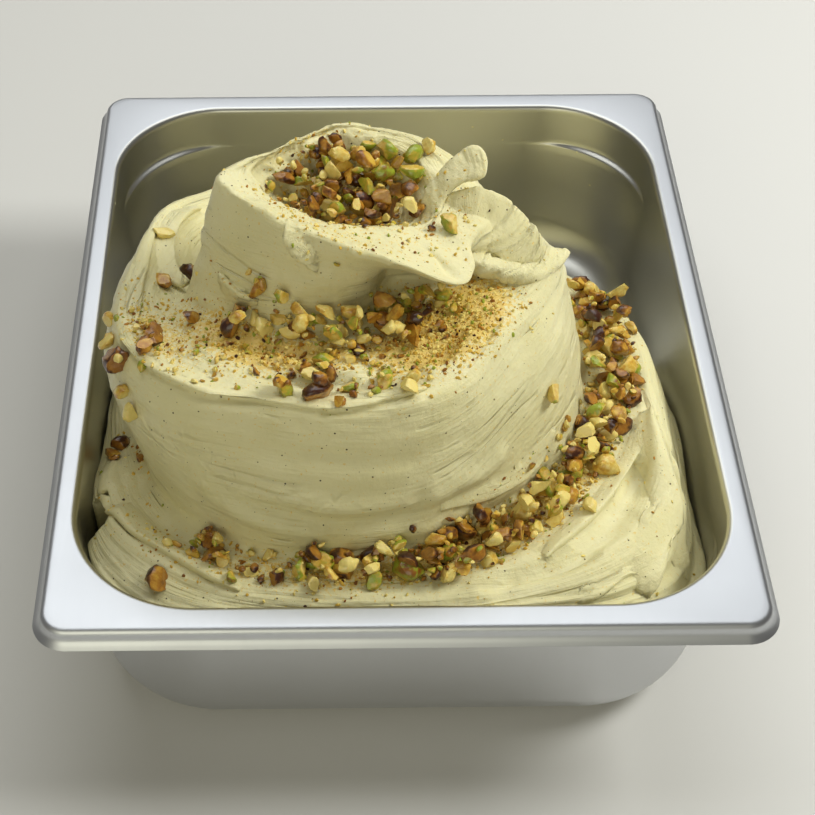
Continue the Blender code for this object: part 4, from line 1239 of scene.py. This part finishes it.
def chopped_kernel(name, skins, flesh):
    """Roasted pistachio, chopped with a knife.

    The thin skin is wrinkled and glossy; the cut face is paler, dry and a little grainy.
    """
    made, tree, shader = new_material(
        name,
        {
            "Roughness": 0.34,
            "IOR": 1.47,
            "Coat Weight": 0.5,
            "Coat Roughness": 0.14,
            "Subsurface Weight": 0.06,
            "Subsurface Scale": 0.001,
        },
    )
    place = add(tree, "ShaderNodeTexCoord").outputs["Object"]
    tone, cut = (add(tree, "ShaderNodeAttribute", {"attribute_name": name}) for name in ("tone", "cut"))
    # The roast and the rubbed-off skin change over 4 mm, and again over half a millimetre.
    patches = maths(tree, "MULTIPLY_ADD", noise(tree, place, 260.0, 5.0, Roughness=0.62), 2.2, -1.1)
    toned = maths(tree, "ADD", maths(tree, "MULTIPLY_ADD", tone.outputs["Fac"], 0.8, 0.1), patches)
    toned.use_clamp = True
    sides = [
        ramp(tree, toned, [(i / (len(side) - 1), colour) for i, colour in enumerate(side)]) for side in (skins, flesh)
    ]
    # The skin's wrinkles are about 1 mm apart.
    wrinkles = noise(tree, place, 900.0, 3.0)
    bump = add(tree, "ShaderNodeBump", {}, {"Strength": 0.6, "Distance": 0.0004, "Height": wrinkles})
    plug(tree, shader, {"Base Color": blend(tree, cut.outputs["Fac"], *sides), "Normal": bump})
    return made


def rest_on(tree, azimuth, distance, length):
    """Where a nut of a length comes to lie at a polar place, kept clear of the steel: place and normal."""
    found = surface_under(tree, azimuth, distance)
    if found is None:
        return None
    room = wall_distance([azimuth], [min(found[0].z - PAN_DEPTH, 0.0)])[0] - length / 2
    return surface_under(tree, azimuth, room) if distance > room else found


def place_nuts(body):
    """Drops the nuts one by one; a nut that would lie in another is lifted on to it."""
    tree = BVHTree.FromObject(body, bpy.context.evaluated_depsgraph_get())
    draw = random.Random(SEED)
    wanted = [(azimuth, distance, LARGE_GAIN * length, kind, 0.0) for azimuth, distance, length, kind in LARGE_NUTS]
    for azimuth_from, azimuth_to, near, far, number, length, heap in HEAPS:
        for _ in range(number):
            azimuth = draw.uniform(azimuth_from, azimuth_to) % 360
            kind = draw.choices((BROWN, GREEN, CREAM), KIND_SHARES)[0]
            distance = draw.uniform(near, far)
            if far < BOWL_REACH:
                distance = min(distance, BOWL_EDGE * ring_at(CREST, [azimuth])[0][0])
            size = length * draw.uniform(0.6, 1.25)
            wanted.append((azimuth, distance, size, kind, heap * draw.random()))
    placed = []
    for azimuth, distance, length, kind, heap in wanted:
        found = rest_on(tree, azimuth, distance, length)
        if found is None:
            continue
        place, normal = found
        size = Vector((length / 2, length / 2 * draw.uniform(0.62, 0.82), length / 2 * draw.uniform(0.55, 0.75)))
        centre = place + normal * size.z * NUT_STANDS_OUT + Vector((0, 0, heap))
        ceiling = place.z + HIGHEST_HEAP
        if distance < BOWL_REACH:
            ceiling = PAN_DEPTH + ring_at(CREST, [azimuth])[0][1] + length * 0.2
        for other, other_size, *_ in placed:
            gap = math.hypot(centre.x - other.x, centre.y - other.y)
            reach = NUT_REACH * (length + 2 * other_size.x)
            if gap < reach and abs(centre.z - other.z) < reach:
                centre.z = max(centre.z, other.z + NUT_LIFT * math.sqrt(reach * reach - gap * gap))
        if centre.z > ceiling:
            continue
        tilt = Vector((0, 0, 1)).rotation_difference(normal).to_matrix()
        lean = Matrix.Rotation(draw.uniform(-0.5, 0.5), 3, "X") @ Matrix.Rotation(draw.uniform(-0.4, 0.4), 3, "Y")
        turn = (tilt @ Matrix.Rotation(draw.uniform(0, math.tau), 3, "Z") @ lean).to_euler()
        placed.append((centre, size, turn, kind, draw.random()))
    return placed


def nut_points(name, rows):
    """A cloud of points that carries each nut's place, size, turn, tone and number."""
    made = mesh_object(name, [row[0] for row in rows], [])
    store(made.data, "centre", "FLOAT_VECTOR", [row[0] * MM for row in rows])
    store(made.data, "size", "FLOAT_VECTOR", [row[1] * MM for row in rows])
    store(made.data, "turn", "FLOAT_VECTOR", [tuple(row[2]) for row in rows])
    store(made.data, "tone", "FLOAT", [row[4] for row in rows])
    store(made.data, "nut", "INT", range(len(rows)))
    return made


class GELATO_OT_scatter_nuts(bpy.types.Operator):
    """Drops chopped pistachios on the gelato, large and small: for each kind, one piece of nuts and one of smaller
    chips
    """

    bl_idname = "gelato.scatter_nuts"
    bl_label = "Scatter Nuts"

    def execute(self, context):
        settings = context.scene.gelato_nuts
        placed = place_nuts(bpy.data.objects["gelato_swirl"])
        tree = nut_tree()
        for kind, (material, *faces) in KERNELS.items():
            skins, flesh = ([tuple(getattr(settings, tone)) for tone in face] for face in faces)
            finish = chopped_kernel(material, skins, flesh)
            for label, roundness, chosen in (("nuts", 3, True), ("chips", 2, False)):
                rows = [row for row in placed if row[3] == kind and (2 * row[1].x > CHIP_LENGTH) == chosen]
                made = nut_points(f"{label}_{kind}", rows)
                apply_tree(made, tree, {"Seed": 3, "Roundness": roundness, "Material": finish})
                made.data.shade_smooth()
                made.data.set_sharp_from_angle(angle=math.radians(48))
                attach(made, "root")
        return {"FINISHED"}


def crumb_tree():
    """Strews crumbs over a surface where its dust attribute says, finer ones more often."""
    tree, given = geometry_tree(
        "nut_crumbs",
        {
            "Density": ("NodeSocketFloat", 1100000.0),
            "Smallest": ("NodeSocketFloat", 0.00025),
            "Largest": ("NodeSocketFloat", 0.0013),
            "Seed": ("NodeSocketInt", 4),
            "Material": ("NodeSocketMaterial", None),
        },
    )
    density = maths(tree, "MULTIPLY", stored(tree, "dust", "FLOAT"), given["Density"])
    spots = add(
        tree,
        "GeometryNodeDistributePointsOnFaces",
        {"distribute_method": "RANDOM"},
        {"Mesh": given["Geometry"], "Density": density, "Seed": given["Seed"]},
    )
    ball = add(tree, "GeometryNodeMeshIcoSphere", {}, {"Radius": 1.0, "Subdivisions": 1})
    turn = drawn(tree, (0, 0, 0), (6.28, 6.28, 6.28), Seed=given["Seed"])
    rare = maths(tree, "POWER", drawn(tree, 0.0, 1.0, Seed=given["Seed"]), 2.4)
    size = span(tree, rare, 0.0, 1.0, given["Smallest"], given["Largest"])
    flat = add(tree, "ShaderNodeCombineXYZ", {}, {"X": 1.0, "Y": 0.7, "Z": 0.45})
    sockets = {"Points": spots.outputs["Points"], "Instance": ball.outputs["Mesh"], "Rotation": turn}
    sockets["Scale"] = vector_maths(tree, "SCALE", flat, Scale=size)
    placed = add(tree, "GeometryNodeInstanceOnPoints", {}, sockets)
    toned = kept(tree, placed, "tone", drawn(tree, 0.0, 1.0, Seed=77), "FLOAT", "INSTANCE")
    finish_tree(tree, toned, given["Material"])
    return tree


def ground_pistachio(settings):
    """Pistachio ground while chopping: dry golden flesh, green flesh and flakes of skin.

    Each crumb has one colour, so that the heap looks speckled.
    """
    made, tree, shader = new_material("ground_roasted_pistachio", {"Roughness": 0.6, "IOR": 1.47})
    tone = add(tree, "ShaderNodeAttribute", {"attribute_name": "tone"})
    stops = [(start, getattr(settings, colour)) for start, colour in CRUMB_TONES]
    plug(tree, shader, {"Base Color": ramp(tree, tone.outputs["Fac"], stops, "CONSTANT")})
    return made


class GELATO_OT_strew_crumbs(bpy.types.Operator):
    """Strews crumbs and dust of ground nuts over the gelato's upper sides"""

    bl_idname = "gelato.strew_crumbs"
    bl_label = "Strew Crumbs"

    def execute(self, context):
        settings = context.scene.gelato_nuts
        made = bpy.data.objects.new("crumbs", bpy.data.objects["gelato_swirl"].data.copy())
        context.scene.collection.objects.link(made)
        made.data.materials.clear()
        apply_tree(made, crumb_tree(), {"Density": settings.crumb_density, "Material": ground_pistachio(settings)})
        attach(made, "root")
        return {"FINISHED"}


class GELATO_OT_make_stage(bpy.types.Operator):
    """Makes the floor, the soft lights and the camera at the photo's angle"""

    bl_idname = "gelato.make_stage"
    bl_label = "Make Stage"

    def execute(self, context):
        settings = context.scene.gelato_stage
        scene = context.scene
        board, _, _ = new_material("matte_board", {"Base Color": (*settings.floor, 1), "Roughness": 0.75})
        edges = [(x * FLOOR_HALF, y * FLOOR_HALF, 0) for x, y in ((-1, -1), (1, -1), (1, 1), (-1, 1))]
        floor = mesh_object("floor", edges, [(0, 1, 2, 3)], [board])
        scene.world = bpy.data.worlds.new("studio")
        scene.view_settings.view_transform = "Standard"
        scene.world.use_nodes = True
        background = scene.world.node_tree.nodes["Background"]
        background.inputs["Color"].default_value = (*WORLD_COLOUR, 1)
        background.inputs["Strength"].default_value = settings.world_strength
        for name, place, size, colour, seen in LAMPS:
            lamp = bpy.data.lights.new(name, "AREA")
            lamp.shape = "SQUARE"
            lamp.size = size
            lamp.energy = getattr(settings, f"{name}_power")
            lamp.color = colour
            light = bpy.data.objects.new(name, lamp)
            light.location = place
            light.visible_glossy = seen
            light.rotation_euler = (LAMP_AIM - Vector(place)).to_track_quat("-Z", "Y").to_euler()
            scene.collection.objects.link(light)
        lens = bpy.data.cameras.new("camera")
        lens.sensor_width, lens.lens, lens.shift_x = CAMERA_LENS
        camera = bpy.data.objects.new("camera", lens)
        yaw, pitch, roll = (Matrix.Rotation(math.radians(CAMERA_TURN[i]), 4, "ZXZ"[i]) for i in range(3))
        camera.matrix_world = Matrix.Translation(CAMERA_PLACE) @ yaw @ pitch @ roll
        scene.collection.objects.link(camera)
        scene.camera = camera
        return {"FINISHED"}


class GELATO_PT_panel(bpy.types.Panel):
    """Lists the pieces that the add-on makes"""

    bl_idname = "GELATO_PT_panel"
    bl_label = "Gelato Display Pan"
    bl_space_type = "VIEW_3D"
    bl_region_type = "UI"
    bl_category = "Gelato"

    def draw(self, context):
        for operator in OPERATORS:
            self.layout.operator(operator.bl_idname)
        for name in SETTINGS:
            box = self.layout.box()
            group = getattr(context.scene, name)
            for field in group.bl_rna.properties.keys():
                if field not in ("rna_type", "name"):
                    box.prop(group, field)


OPERATORS = (
    GELATO_OT_make_stage,
    GELATO_OT_make_pan,
    GELATO_OT_make_gelato,
    GELATO_OT_scatter_nuts,
    GELATO_OT_strew_crumbs,
)
SETTINGS = {
    "gelato_pan": PanSettings,
    "gelato_gelato": GelatoSettings,
    "gelato_nuts": NutSettings,
    "gelato_stage": StageSettings,
}


def register():
    for made in (*SETTINGS.values(), *OPERATORS, GELATO_PT_panel):
        bpy.utils.register_class(made)
    for name, group in SETTINGS.items():
        setattr(bpy.types.Scene, name, PointerProperty(type=group))


def unregister():
    for name in SETTINGS:
        delattr(bpy.types.Scene, name)
    for made in reversed((*SETTINGS.values(), *OPERATORS, GELATO_PT_panel)):
        bpy.utils.unregister_class(made)


def main():
    register()
    bpy.ops.gelato.make_stage()
    bpy.ops.gelato.make_pan()
    bpy.ops.gelato.make_gelato()
    bpy.ops.gelato.scatter_nuts()
    bpy.ops.gelato.strew_crumbs()


if __name__ == "__main__":
    main()
